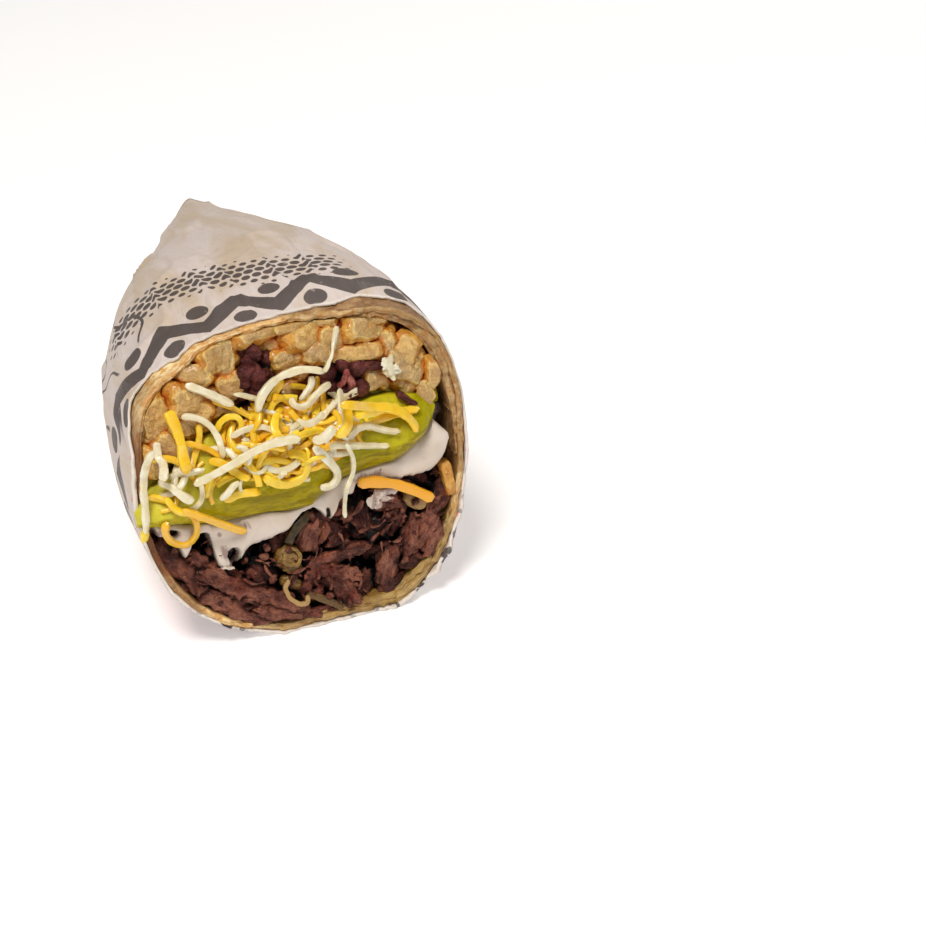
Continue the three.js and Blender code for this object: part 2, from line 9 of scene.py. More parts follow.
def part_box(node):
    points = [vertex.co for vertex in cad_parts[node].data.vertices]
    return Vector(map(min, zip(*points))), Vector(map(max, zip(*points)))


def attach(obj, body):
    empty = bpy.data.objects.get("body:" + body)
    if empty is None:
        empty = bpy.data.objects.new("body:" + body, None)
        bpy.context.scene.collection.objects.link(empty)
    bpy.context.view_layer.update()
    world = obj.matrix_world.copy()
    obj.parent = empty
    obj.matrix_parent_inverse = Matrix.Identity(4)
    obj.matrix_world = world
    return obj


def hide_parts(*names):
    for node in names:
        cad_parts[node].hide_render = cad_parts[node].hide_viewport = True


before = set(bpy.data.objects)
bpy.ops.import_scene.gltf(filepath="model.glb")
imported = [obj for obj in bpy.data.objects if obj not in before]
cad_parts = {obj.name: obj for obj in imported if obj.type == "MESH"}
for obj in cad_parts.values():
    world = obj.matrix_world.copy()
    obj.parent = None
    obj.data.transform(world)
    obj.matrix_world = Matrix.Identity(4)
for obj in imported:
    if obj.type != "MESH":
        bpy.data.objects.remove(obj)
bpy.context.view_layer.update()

# The form of the burrito, as in the frame. Lengths are in millimetres and angles in degrees.
# A place on the cut is (across, up, out): along X, up the leaning cut, and out of it.
body = {
    "length": 112.0,
    "cutHeight": 38.0,
    "cutLean": 16.5,
    "leanFade": 1.5,
    "radius": 40.9,
    "lobes": [(2.5, -0.8), (1.0, 0.3), (-0.6, 1.1), (-1.4, 0.3)],
    "sideTaper": (2.3, 1.3),
    "bellyTaper": (5.0, 1.2),
    "sagDepth": 1.5,
    "sagWithin": 0.2,
    "endAcross": 12.0,
    "endHeight": 37.5,
    "endHalfWidth": 8.5,
    "endHalfHeight": 15.5,
    "endDome": 2.0,
    "paper": 0.6,
    "gap": 0.3,
    "wall": 1.8,
    "laps": [(30.0, 42.0, 2.4), (-58.0, 42.0, 1.4)],
    # angle and how far the mouth is pressed in there, then angle and how far back the paper's rim lies
    "mouth": [
        (-90, 0), (-10, 0), (16, 0.3), (31, 0), (40, 0.2), (49, 1.2), (56, 2.3), (63, 2.9), (70, 2.8),
        (78, 1.9), (86, 1.0), (94, 0.4), (104, 0), (120, -0.1), (127, 0.9), (134, 0.7), (140, 0),
        (148, -0.8), (156, 0), (165, 0.7), (175, 0.6), (188, 0), (270, 0)],
    "rimBack": [
        (-90, 0), (-5, 0), (20, 1.5), (35, 3.0), (47, 3.4), (60, 3.0), (75, 1.5), (88, 0.6), (100, 0.3),
        (115, 0.3), (125, 1.2), (133, 3.0), (142, 4.5), (149, 4.8), (156, 3.0), (163, 1.0), (172, 0),
        (270, 0)],
    "pressedOver": 9.0,
    "paperShare": 0.9,
}
guacamoleTop = [
    (-40, -1.5), (-36.5, 1.6), (-33, 3.6), (-29, 6), (-25.5, 9.4), (-21, 12), (-13, 13.4), (0, 14),
    (15, 13), (25, 12.8), (34, 11), (40, 10)]
guacamoleFoot = [
    (-40, -5.6), (-35.7, -6.2), (-30.5, -6.6), (-25.4, -7.8), (-19.7, -8.5), (-9.5, -8.7), (-4.6, -9.5),
    (-0.2, -9.6), (2.3, -9.2), (4.6, -7.6), (9, -5), (20, -3.5), (24.6, -3), (29.6, 0), (34, 3.5),
    (36, 6.4), (40, 9)]
creamFoot = [
    (-40, -5.2), (-36.8, -6.6), (-36.1, -8.3), (-34.2, -9.4), (-32.2, -10.1), (-31.1, -11.8),
    (-29.8, -15.2), (-28.6, -14.3), (-27.5, -11.9), (-26.1, -10.3), (-24.6, -10), (-23.2, -11.3),
    (-22.8, -15.2), (-22.5, -18.7), (-21.4, -20.3), (-18.8, -20.5), (-16.8, -19.3), (-15, -17.3),
    (-13.2, -16.3), (-10.2, -15.8), (-6.8, -15.2), (-4.4, -14.2), (-3.4, -13.2), (-2.2, -12), (-0.2, -10.6),
    (2.2, -10.5), (3.8, -11.5), (4.8, -13.3), (6.3, -14.5), (7.7, -12.9), (8.8, -10.8), (10.1, -9.8),
    (12.2, -9.1), (13.2, -7.2), (15.8, -6.5), (20, -7.5), (24, -8.2), (31, -8.4), (34, -7.4), (36, -5.2),
    (37.6, -1.4), (40, 1),
]

lean = math.radians(body["cutLean"])
acrossAxis = np.array([1.0, 0.0, 0.0])
upAxis = np.array([0.0, math.sin(lean), math.cos(lean)])
outAxis = np.array([0.0, -math.cos(lean), math.sin(lean)])
faceBasis = np.stack([acrossAxis, upAxis, outAxis])
cutMiddle = np.array([0.0, 0.0, body["cutHeight"]])


def smoothStep(value, low, high):
    share = np.clip((value - low) / (high - low), 0, 1)
    return share * share * (3 - 2 * share)


def hump(distance, half):
    return np.where(np.abs(distance) < half, np.cos(np.pi / 2 * np.clip(distance / half, -1, 1)) ** 2, 0)


def angleGap(first, second):
    return np.degrees(np.arctan2(np.sin(np.radians(first - second)), np.cos(np.radians(first - second))))


# large factors that make the number of a corner look random
scramble = {"corner": (374761393, 668265263, 1440662683), "seed": 974711, "last": 1274126177,
            "mask": 0xFFFFFFFF}


def latticeNoise(points, cell, seed=0):
    # smooth noise from -1 to 1 whose lumps are about cell across, where cell may differ along the axes
    scaled = np.asarray(points, float) / cell + seed * 17.317
    base = np.floor(scaled).astype(np.int64)
    part = scaled - base
    part = part * part * part * (part * (part * 6 - 15) + 10)
    total = np.zeros(scaled.shape[:-1])
    for corner in np.ndindex(2, 2, 2):
        mixed = sum((base[..., i] + corner[i]) * scramble["corner"][i] for i in range(3))
        mixed = (mixed + seed * scramble["seed"]) & scramble["mask"]
        mixed = ((mixed ^ (mixed >> 13)) * scramble["last"]) & scramble["mask"]
        value = ((mixed ^ (mixed >> 16)) & 0xFFFF) / 32767.5 - 1
        weight = 1.0
        for i in range(3):
            weight = weight * (part[..., i] if corner[i] else 1 - part[..., i])
        total += weight * value
    return total


def roughNoise(points, cell, seed=0, octaves=3):
    # the same noise with finer and weaker copies of itself on it
    cell = np.asarray(cell, float)
    total = sum(latticeNoise(points, cell / 2 ** i, seed + 31 * i) / 2 ** i for i in range(octaves))
    return total / 1.5


def levelLine(points):
    # a smooth line through points, each a place and a height
    x, y = np.array(points, float).T
    before, after = np.maximum(np.arange(len(x)) - 1, 0), np.minimum(np.arange(len(x)) + 1, len(x) - 1)
    slope = (y[after] - y[before]) / (x[after] - x[before])

    def height(across):
        place = np.clip(across, x[0], x[-1])
        i = np.clip(np.searchsorted(x, place, side="right") - 1, 0, len(x) - 2)
        width = x[i + 1] - x[i]
        t = (place - x[i]) / width
        return ((2 * t ** 3 - 3 * t ** 2 + 1) * y[i] + (t ** 3 - 2 * t ** 2 + t) * width * slope[i]
                + (3 * t ** 2 - 2 * t ** 3) * y[i + 1] + (t ** 3 - t ** 2) * width * slope[i + 1])

    return height


topLine, footLine, creamLine = levelLine(guacamoleTop), levelLine(guacamoleFoot), levelLine(creamFoot)
mouthLine, rimLine = levelLine(body["mouth"]), levelLine(body["rimBack"])


def sectionRadius(angle):
    turn = np.radians(angle)
    return body["radius"] + sum(
        c * np.cos((i + 1) * turn) + s * np.sin((i + 1) * turn) for i, (c, s) in enumerate(body["lobes"]))


def taper(along, form):
    # 1 at the cut and 0 at the folded end
    return (1 - np.clip(along, 0, 1) ** form[0]) ** form[1]


def bodyPoint(angle, along, inset):
    # a place on the roll: its angle round it, its share of the length, and how deep it lies under the paper
    angle, along, inset = np.broadcast_arrays(angle, along, inset)
    sine, cosine = np.sin(np.radians(angle)), np.cos(np.radians(angle))
    low = np.maximum(0, -sine)
    keep = taper(along, body["sideTaper"])
    keepUp = keep + (taper(along, body["bellyTaper"]) - keep) * low
    reach = sectionRadius(angle) + body["paper"] + body["gap"] - inset
    width = keep * reach + (1 - keep) * (body["endHalfWidth"] - inset)
    height = keepUp * reach * math.cos(lean) + (1 - keepUp) * (body["endHalfHeight"] - inset)
    sag = body["sagDepth"] * low * smoothStep(along, 0, body["sagWithin"])
    middle = body["cutHeight"] + (1 - keep) * (body["endHeight"] - body["cutHeight"]) - sag
    x = (1 - keep) * body["endAcross"] + width * cosine
    z = np.maximum(middle + height * sine, inset)
    forward = (1 - np.clip(along, 0, 1)) ** body["leanFade"]
    y = along * (body["length"] - inset) + math.tan(lean) * (z - body["cutHeight"]) * forward
    return np.stack([x, y, z], -1)


def facePoint(across, up, out):
    # the place in space of one on the cut
    across, up, out = (np.asarray(v, float)[..., None] for v in np.broadcast_arrays(across, up, out))
    return cutMiddle + across * acrossAxis + up * upAxis + out * outAxis


def outOf(points):
    return (points - cutMiddle) @ outAxis


def faceOf(points):
    # the place on the cut of points in space
    return points[:, 0], (points - cutMiddle) @ upAxis, outOf(points)


reliefGrid = {"half": 52, "step": 0.4, "floor": -9.0}


class Relief:
    # how far the food stands out over the cut, on a fine grid
    def __init__(self, points, reach):
        self.step, self.half = reliefGrid["step"], reliefGrid["half"]
        self.size = int(2 * self.half / self.step)
        across, up, out = faceOf(points)
        top = np.full((self.size, self.size), reliefGrid["floor"])
        np.maximum.at(top, self.cells(across, up), out)
        wide = np.maximum.reduce([np.roll(top, (i, j), (0, 1)) for i in (-1, 0, 1) for j in (-1, 0, 1)])
        kernel = np.hanning(2 * int(reach / self.step) + 3)[1:-1]
        kernel /= kernel.sum()
        for axis in (0, 1):
            wide = np.apply_along_axis(np.convolve, axis, wide, kernel, mode="same")
        self.height = wide

    def cells(self, across, up):
        places = (np.rint((v + self.half) / self.step).astype(int) for v in (across, up))
        return tuple(np.clip(place, 0, self.size - 1) for place in places)

    def below(self, points):
        # how far points lie below the food round them
        across, up, out = faceOf(points)
        return self.height[self.cells(across, up)] - out


def upright(angle):
    # the same angle between -90 and 270
    return np.mod(np.asarray(angle, float) + 90, 360) - 90


def pinch(angle, depth):
    # how far the mouth of the roll is pressed in
    return mouthLine(upright(angle)) * (1 - smoothStep(depth, 0, body["pressedOver"]))


def humps(angles, rows):
    # each row is an angle, how far it reaches to both sides, and how much it adds
    return sum(amount * hump(angleGap(angles, at), half) for at, half, amount in rows)


def tortillaWall(angle):
    return body["wall"] + humps(angle, body["laps"])


# The frame is centred on its box, so the same form tells how far it was moved.
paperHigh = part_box("paper_wrap")[1]
ringAngles = np.arange(36) * 10.0
widest = bodyPoint(ringAngles[None, :], np.arange(11)[:, None] / 10, 0.0)[..., 0]
moved = np.array([
    paperHigh.x * 1000 - widest.max(),
    paperHigh.y * 1000 - body["length"] - body["endDome"],
    0.0,
])


def toWorld(points):
    return (np.asarray(points) + moved) / 1000


def fromWorld(mesh):
    # the points of a mesh in the millimetres of the form
    points = np.zeros(len(mesh.vertices) * 3)
    mesh.vertices.foreach_get("co", points)
    return points.reshape(-1, 3) * 1000 - moved


def link(name, mesh):
    made = bpy.data.objects.new(name, mesh)
    bpy.context.scene.collection.objects.link(made)
    return made


def applied(made):
    # the plain mesh that an object and its modifiers give, in place of the object
    mesh = bpy.data.meshes.new_from_object(made.evaluated_get(bpy.context.evaluated_depsgraph_get()))
    made.modifiers.clear()
    bpy.data.objects.remove(made)
    return mesh


def valued(mesh, **values):
    # gives a mesh named values: one number for all its points, or a number or a vector for each
    for key, value in values.items():
        value = np.asarray(value, np.float32)
        if value.ndim == 0:
            value = np.full(len(mesh.vertices), value)
        kind, field = ("FLOAT_VECTOR", "vector") if value.ndim == 2 else ("FLOAT", "value")
        mesh.attributes.new(key, kind, "POINT").data.foreach_set(field, value.ravel())
    return mesh


def makePiece(name, points, faces, finish, values=None, uv=None, tidy=True):
    mesh = bpy.data.meshes.new(name)
    faces = [tuple(face) for group in faces for face in group.tolist()]
    mesh.from_pydata(toWorld(points).tolist(), [], faces)
    valued(mesh, **(values or {}))
    if uv is not None:
        mesh.uv_layers.new(name="wrap").data.foreach_set("uv", uv.astype(np.float32).ravel())
    if tidy:
        form = bmesh.new()
        form.from_mesh(mesh)
        bmesh.ops.recalc_face_normals(form, faces=form.faces)
        form.to_mesh(mesh)
        form.free()
    mesh.shade_smooth()
    mesh.materials.append(finishes[finish])
    return link(name, mesh)


def loft(rings):
    # a closed skin through rings of equally many points, with a pole at each end
    count, around = rings.shape[:2]
    points = np.concatenate([rings.reshape(-1, 3), rings[:1].mean(1), rings[-1:].mean(1)])
    here = np.arange(around)
    after = (here + 1) % around
    start = (np.arange(count - 1) * around)[:, None]
    quads = np.stack([start + here, start + after, start + around + after, start + around + here], -1)
    last = (count - 1) * around
    first = np.stack([after, here, np.full(around, count * around)], -1)
    final = np.stack([last + here, last + after, np.full(around, count * around + 1)], -1)
    return points, [quads.reshape(-1, 4), first, final]


class Batch:
    # gathers closed lumps that become one piece
    def __init__(self):
        self.points, self.faces, self.values, self.count = [], [], {}, 0

    def add(self, points, faces, **values):
        self.points.append(points)
        self.faces += [group + self.count for group in faces]
        for key, value in values.items():
            spread = np.broadcast_to(value, (len(points), *np.shape(value)[1:]))
            self.values.setdefault(key, []).append(spread)
        self.count += len(points)

    def shade(self, relief, low, high):
        # paints shade, as the deep mark, into the crevices between the lumps and onto what lies far back
        points = np.concatenate(self.points)
        paintedShade = np.maximum((relief.below(points) - low) / (high - low), (-1.0 - outOf(points)) / 5.0)
        self.values["deep"] = [np.clip(paintedShade, 0, 1)]

    def piece(self, name, finish):
        values = {key: np.concatenate(parts) for key, parts in self.values.items()}
        return makePiece(name, np.concatenate(self.points), self.faces, finish, values)


def turned(turn, pitch=0.0, roll=0.0):
    # columns are the lump's own length, width and thickness as (across, up, out)
    t, p, r = (math.radians(v) for v in (turn, pitch, roll))
    spin = np.array([[math.cos(t), -math.sin(t), 0], [math.sin(t), math.cos(t), 0], [0, 0, 1]])
    nod = np.array([[math.cos(p), 0, -math.sin(p)], [0, 1, 0], [math.sin(p), 0, math.cos(p)]])
    tip = np.array([[1, 0, 0], [0, math.cos(r), -math.sin(r)], [0, math.sin(r), math.cos(r)]])
    return spin @ nod @ tip


def unitLump(rings, around, power):
    # a rounded block of half size 1, with its poles at both ends of its length
    latitude = np.linspace(-np.pi / 2, np.pi / 2, rings + 2)[1:-1, None]
    longitude = np.linspace(0, 2 * np.pi, around, endpoint=False)[None, :]
    way = np.stack(np.broadcast_arrays(
        np.sin(latitude), np.cos(latitude) * np.cos(longitude), np.cos(latitude) * np.sin(longitude)), -1)
    size = (np.abs(way) ** power).sum(-1, keepdims=True) ** (-1 / power)
    points, faces = loft(way * size)
    points[-2], points[-1] = (-1, 0, 0), (1, 0, 0)
    return points, faces


unitLumps = {}


def lump(place, size, frameOf, power=3.0, rings=20, around=20, lumps=(0.0, 2.0), grain=(0.0, (6, 0.8, 0.8)),
         bend=(0.0, 0.0), taperTo=1.0, seed=0, frill=(0.0, 1.0), torn=(0.0, 1.0, (0, 1))):
    key = (rings, around, power)
    if key not in unitLumps:
        unitLumps[key] = unitLump(*key)
    unit, faces = unitLumps[key]
    half = np.array(size) / 2
    local = unit * half
    normal = np.sign(unit) * np.abs(unit) ** (power - 1) / half
    normal /= np.linalg.norm(normal, axis=1, keepdims=True) + 1e-9
    shift = lumps[0] * roughNoise(local, lumps[1], seed, 2)
    if grain[0]:
        shift = shift + grain[0] * roughNoise(local, np.array(grain[1]), seed + 5, 2)
    if frill[0]:
        # sharpest round the rim of the ends
        side = np.maximum(np.abs(unit[:, 1]), np.abs(unit[:, 2]))
        rim = 0.15 + smoothStep(side, 0.7, 0.95) * smoothStep(np.abs(unit[:, 0]), 0.7, 0.95)
        shift = shift + frill[0] * rim * roughNoise(local, frill[1], seed + 9, 3)
    ragged = torn[0] * roughNoise(local, torn[1], seed + 13, 3) if torn[0] else 0.0
    local = local + normal * shift[:, None]
    for axis in torn[2]:
        local[:, axis] += normal[:, axis] * ragged
    share = unit[:, 0]
    local[:, 1:] *= (1 + (taperTo - 1) * (share[:, None] + 1) / 2)
    local[:, 1] += bend[0] * (share ** 2 - 0.4)
    local[:, 2] += bend[1] * (share ** 2 - 0.4)
    return facePoint(*place) + local @ frameOf.T @ faceBasis, faces, unit, local


def coreOf(node, cutAt, voxel, relief, reliefCell, seed, fade=9.0):
    # the filling behind the cut: a merged copy of the node, cut off flat and made lumpy at the front
    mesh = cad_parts[node].data.copy()
    form = bmesh.new()
    form.from_mesh(mesh)
    bmesh.ops.remove_doubles(form, verts=form.verts, dist=1e-6)
    cut = Vector(toWorld(facePoint(0.0, 0.0, cutAt)))
    bmesh.ops.bisect_plane(form, geom=form.verts[:] + form.edges[:] + form.faces[:], dist=1e-7,
                           plane_co=cut, plane_no=Vector(outAxis), clear_outer=True)
    rim = [edge for edge in form.edges if edge.is_boundary]
    bmesh.ops.triangle_fill(form, edges=rim, use_beauty=True)
    form.to_mesh(mesh)
    form.free()
    rough = link(node + "Rough", mesh)
    remesh = rough.modifiers.new("even", "REMESH")
    remesh.mode = "VOXEL"
    remesh.voxel_size = voxel / 1000
    even = applied(rough)
    points = fromWorld(even)
    across, up, out = faceOf(points)
    press = pinch(np.degrees(np.arctan2(up, across)), -out) / body["radius"]
    points -= (across * press)[:, None] * acrossAxis + (up * press)[:, None] * upAxis
    weight = smoothStep(out, cutAt - fade, cutAt - 0.5)
    points += outAxis * (weight * relief * roughNoise(points, reliefCell, seed, 3))[:, None]
    even.vertices.foreach_set("co", toWorld(points).ravel())
    return even


def joined(name, pieces, finish):
    # joins meshes and objects into one piece with one finish
    form = bmesh.new()
    for piece in pieces:
        form.from_mesh(piece.data if isinstance(piece, bpy.types.Object) else piece)
    mesh = bpy.data.meshes.new(name)
    form.to_mesh(mesh)
    form.free()
    for piece in pieces:
        if isinstance(piece, bpy.types.Object):
            bpy.data.objects.remove(piece)
    mesh.shade_smooth()
    mesh.materials.clear()
    mesh.materials.append(finishes[finish])
    mesh.polygons.foreach_set("material_index", np.zeros(len(mesh.polygons), np.int32))
    return link(name, mesh)


class Value:
    # a socket that can be used in sums
    def __init__(self, graph, socket):
        self.graph, self.socket = graph, socket

    def sum(self, operation, *others):
        values = dict(enumerate((self, *others)))
        return self.graph.node("ShaderNodeMath", {"operation": operation}, values)

    def also(self, name):
        return Value(self.graph, self.socket.node.outputs[name])

    def __add__(self, other):
        return self.sum("ADD", other)

    def __sub__(self, other):
        return self.sum("SUBTRACT", other)

    def __mul__(self, other):
        return self.sum("MULTIPLY", other)

    def __truediv__(self, other):
        return self.sum("DIVIDE", other)

    def __rsub__(self, other):
        return self.graph.node("ShaderNodeMath", {"operation": "SUBTRACT"}, {0: other, 1: self})

    def __neg__(self):
        return self * -1.0

    __radd__ = __add__
    __rmul__ = __mul__

    def size(self):
        return self.sum("ABSOLUTE")

    def most(self, other):
        return self.sum("MAXIMUM", other)

    def rise(self, low, high):
        # 0 at low and 1 at high
        return self.graph.node("ShaderNodeMapRange", {"interpolation_type": "SMOOTHSTEP"},
                               {"Value": self, "From Min": low, "From Max": high})


def colour(red, green, blue):
    # from 0 to 255, as on a screen, to the light that Blender reckons with
    return tuple(v / 255 / 12.92 if v / 255 <= 0.04045 else ((v / 255 + 0.055) / 1.055) ** 2.4
                 for v in (red, green, blue))


class Graph:
    # the nodes of one material or of one tree
    def __init__(self, tree):
        self.tree = tree

    def node(self, kind, settings=None, values=None, output=0):
        # settings are set first, then the values or links of the sockets
        made = self.tree.nodes.new(kind)
        for key, value in (settings or {}).items():
            setattr(made, key, value)
        for key, value in (values or {}).items():
            if isinstance(value, Value):
                self.tree.links.new(value.socket, made.inputs[key])
            else:
                made.inputs[key].default_value = value
        return Value(self, made.outputs[output]) if made.outputs else None

    def place(self):
        return self.node("ShaderNodeTexCoord").also("Object")

    def attribute(self, name, output="Fac"):
        return self.node("ShaderNodeAttribute", {"attribute_name": name}).also(output)

    def noise(self, vector, scale, detail=3.0, roughness=0.5, distortion=0.0):
        values = {"Vector": vector, "Scale": scale, "Detail": detail, "Roughness": roughness,
                  "Distortion": distortion}
        return self.node("ShaderNodeTexNoise", None, values)

    def stretched(self, vector, scale, turn=(0.0, 0.0, 0.0)):
        return self.node("ShaderNodeMapping", None, {"Vector": vector, "Scale": scale, "Rotation": turn})

    def mix(self, factor, first, second):
        first, second = ((*colour(*c), 1.0) if isinstance(c, tuple) else c for c in (first, second))
        return self.node("ShaderNodeMix", {"data_type": "RGBA"}, {0: factor, 6: first, 7: second}, output=2)

    def coats(self, base, *coats):
        # lays coats over a colour, each given as how much of it shows and its own colour
        for factor, shade in coats:
            base = self.mix(factor, base, shade)
        return base

    def bump(self, height, distance, under=None):
        values = {"Height": height, "Distance": distance / 1000}
        if under is not None:
            values["Normal"] = under
        return self.node("ShaderNodeBump", None, values)


def makeMaterial(name, build, *sheens):
    # what build gives, with the fixed values of each sheen
    material = bpy.data.materials.new(name)
    material.use_nodes = True
    material.node_tree.nodes.clear()
    graph = Graph(material.node_tree)
    fixed = {key: value for sheen in sheens for key, value in sheen.items()}
    surface = graph.node("ShaderNodeBsdfPrincipled", None, {**fixed, **build(graph)})
    graph.node("ShaderNodeOutputMaterial", None, {"Surface": surface})
    return material


# The print is in millimetres: x runs leftwards over the paper, from opposite its seam, and y back from its rim.
paperFinish = {
    "clean": (218, 205, 199), "oiled": (206, 186, 162), "ink": (66, 57, 55), "accent": (224, 104, 110),
    "blur": 0.12, "bandMiddle": 8.2, "bandHalf": 7.4, "zigPeriod": 19.0, "zigHalf": 3.4, "discRadius": 2.9,
    "dotSpacing": 3.0, "dotShare": 0.44, "dotsAt": 28.0, "dotsHalf": 9.0, "dotsWithin": (-34.0, 30.0),
    # where each thin line starts, and its width as a share of lineWidth
    "lines": [(-48.0, 1.2), (-58.0, 0.8), (-71.0, 1.2), (24.0, 1.5), (33.0, 1.0), (45.0, 1.3), (57.0, 0.9),
              (70.0, 1.2)],
    "lineWidth": 0.4, "linesFrom": 17.0,
    "dashPeriod": 16.0, "dashStep": 12.0, "dashHalf": (4.2, 1.7), "dashesWithin": (66.0, 104.0),
    "plainWithin": (40.0, 78.0), "plainTo": 8.0, "redWithin": (74.0, 90.0),
}


def buildPaper(graph):
    look = paperFinish
    uv = graph.node("ShaderNodeUVMap", {"uv_map": "wrap"})
    parts = graph.node("ShaderNodeSeparateXYZ", None, {"Vector": uv})
    place = graph.place()
    warp = graph.noise(place, 60.0, 2.0) - 0.5
    x = parts.also("X") * 100.0 + warp * 1.6
    y = parts.also("Y") * 100.0 + warp * 1.2

    def soft(distance):
        # 1 within an edge and 0 beyond it
        return 1.0 - distance.rise(-look["blur"], look["blur"])

    def saw(value, period):
        # from -0.5 to 0.5 over each period
        return (value / period).sum("FLOORED_MODULO", 1.0) - 0.5

    def between(value, ends, fade):
        return value.rise(ends[0], ends[0] + fade) * (1.0 - value.rise(ends[1], ends[1] + fade))

    # a thick zigzag with a disc in each of its notches, near the rim
    period, discRadius = look["zigPeriod"], look["discRadius"]
    zig = saw(x, period).size() * 4.0 - 1.0
    swing = zig * (look["bandHalf"] - look["zigHalf"])
    band = soft((y - look["bandMiddle"] - swing).size() - look["zigHalf"])
    for phase, side in ((0.0, 1.0), (period / 2, -1.0)):
        across = saw(x + phase, period) * period
        down = y - (look["bandMiddle"] + side * (look["bandHalf"] - discRadius * 0.8))
        band = band.most(soft((across * across + down * down).sum("SQRT") - discRadius))

    # a waving field of dots that shrink towards its edges
    spacing = look["dotSpacing"]
    down = (y - look["dotsAt"] - (x * 0.075).sum("SINE") * 3.0 - x * 0.12) / look["dotsHalf"]
    stagger = ((y / spacing).sum("FLOOR") * 0.5).sum("FLOORED_MODULO", 1.0) * spacing
    dotX, dotY = saw(x + stagger, spacing) * spacing, saw(y, spacing) * spacing
    reach = (1.0 - down * down).most(0.0).sum("SQRT") * between(x, look["dotsWithin"], 8.0)
    far = (dotX * dotX + dotY * dotY).sum("SQRT")
    dots = soft(far - reach * (spacing * look["dotShare"])) * reach.rise(0.05, 0.2)

    # long thin lines that wander back from the rim
    bendy = (graph.noise(graph.stretched(uv, (4.0, 4.0, 1.0)), 1.3, 1.0) - 0.5) * 26.0 + y * 0.12
    lines = None
    for at, width in look["lines"]:
        line = soft((x - at - bendy).size() - look["lineWidth"] * width)
        lines = line if lines is None else lines.most(line)
    lines = lines * y.rise(look["linesFrom"], look["linesFrom"] + 2.0)

    # the band stops on one plain stretch of the rim, which has red specks
    plain = between(x, look["plainWithin"], 6.0) * (1.0 - (y - look["plainTo"] + warp * 6.0).rise(0.0, 0.8))
    ink = (band * (1.0 - plain)).most(dots).most(lines)

    # short red dashes low on both sides, and a red stretch of the band low on the left
    period, step = look["dashPeriod"], look["dashStep"]
    dashX, dashY = saw(x, period).size() * period, saw(y + x * 0.8, step).size() * step
    red = soft(dashX - look["dashHalf"][0]) * soft(dashY - look["dashHalf"][1])
    red = red * between(x.size(), look["dashesWithin"], 3.0)
    red = red.most(plain * graph.noise(place, 150.0, 2.0).rise(0.62, 0.66))
    redBand = band * between(x, look["redWithin"], 2.0)
    red = red.most(redBand)
    ink = ink * (1.0 - redBand)

    streaks = graph.noise(graph.stretched(place, (1.0, 0.35, 1.0), (0.0, 0.0, 0.5)), 55.0, 4.0, 0.55, 0.6)
    oil = streaks.rise(0.42, 0.62)
    fibre = graph.noise(graph.stretched(place, (1.0, 0.25, 1.0)), 900.0, 2.0)
    worn = graph.noise(place, 420.0, 3.0).rise(0.66, 0.76) * 0.4
    bits = graph.noise(place, 300.0, 2.0).rise(0.55, 0.6) * graph.attribute("bits")
    base = graph.coats(
        graph.mix(oil, look["clean"], look["oiled"]),
        (graph.noise(place, 22.0, 2.0).rise(0.4, 0.75) * 0.4, (222, 212, 208)),
        (fibre.rise(0.3, 0.8) * 0.22, (186, 168, 148)),
        (ink * (1.0 - worn) * 0.96, graph.mix(graph.noise(place, 130.0, 2.0), look["ink"], (92, 80, 75))),
        (red * 0.85, look["accent"]),
        (graph.attribute("torn"), (240, 232, 222)),
        (bits, look["ink"]))
    creases = graph.noise(graph.stretched(place, (1.0, 0.5, 1.0), (0.3, 0.2, 0.6)), 95.0, 4.0, 0.6, 0.9)
    return {
        "Base Color": base,
        "Roughness": 0.62 - oil * 0.2,
        "Normal": graph.bump(fibre, 0.06, graph.bump(creases, 1.3)),
    }


def buildTortilla(graph):
    place = graph.place()
    cut, oily = graph.attribute("cut"), graph.attribute("oily")
    mottled = graph.noise(place, 210.0, 4.0, 0.65)
    flaky = graph.noise(graph.stretched(place, (1.0, 2.2, 1.0)), 520.0, 4.0, 0.65)
    flakes = flaky.rise(0.38, 0.6)
    skin = graph.coats(
        graph.mix(mottled.rise(0.34, 0.66), (132, 92, 54), (186, 146, 100)),
        (flaky.rise(0.5, 0.62) * 0.7, (220, 180, 126)),
        (graph.noise(place, 900.0, 3.0, 0.7).rise(0.52, 0.64) * 0.3, (122, 78, 40)),
        (graph.noise(place, 80.0, 3.0, 0.6, 0.3).rise(0.52, 0.68) * 0.6, (116, 76, 42)),
        # paler, flakier skin on the upper left, partly painted light where it faces the key lamp
        (graph.attribute("pale"), graph.mix(flakes, (212, 156, 76), (250, 228, 176))))
    waves = graph.noise(place, 160.0, 3.0, 0.6)
    leaves = ((graph.attribute("inset") * 1.6 + waves * 3.0) * 6.28).sum("SINE") * 0.5 + 0.5
    inner = graph.coats(
        graph.mix(flakes, (214, 156, 82), (244, 212, 150)),
        (graph.noise(place, 150.0, 3.0).rise(0.44, 0.66) * 0.6, (222, 164, 84)),
        # fine bright specks on the cut, painted highlights on the crumbs
        (graph.noise(place, 1300.0, 3.0, 0.6).rise(0.5, 0.64) * 0.4, (252, 230, 186)),
        (graph.attribute("layer") * 0.3, (166, 124, 70)),
        (leaves.rise(0.7, 1.0) * 0.35, (172, 108, 44)))
    base = graph.coats(
        graph.mix((cut + (flaky - 0.5) * 0.5).rise(0.3, 0.75), skin, inner),
        (oily * 0.85, graph.mix(mottled.rise(0.3, 0.7), (128, 94, 36), (176, 142, 72))),
        # darker on the upper right: toasting and partly painted shade
        (graph.attribute("toastedAndShaded") * 0.5, (122, 82, 40)),
        (graph.attribute("burnt") * 0.9, (112, 56, 18)))
    height = graph.bump(flaky, 0.24, graph.bump(leaves * cut.rise(0.4, 0.9), 0.12))
    return {
        "Base Color": base,
        "Roughness": 0.4 + mottled * 0.25 - oily * 0.2,
        "Normal": graph.bump(graph.noise(place, 1000.0, 3.0), 0.12, height),
    }


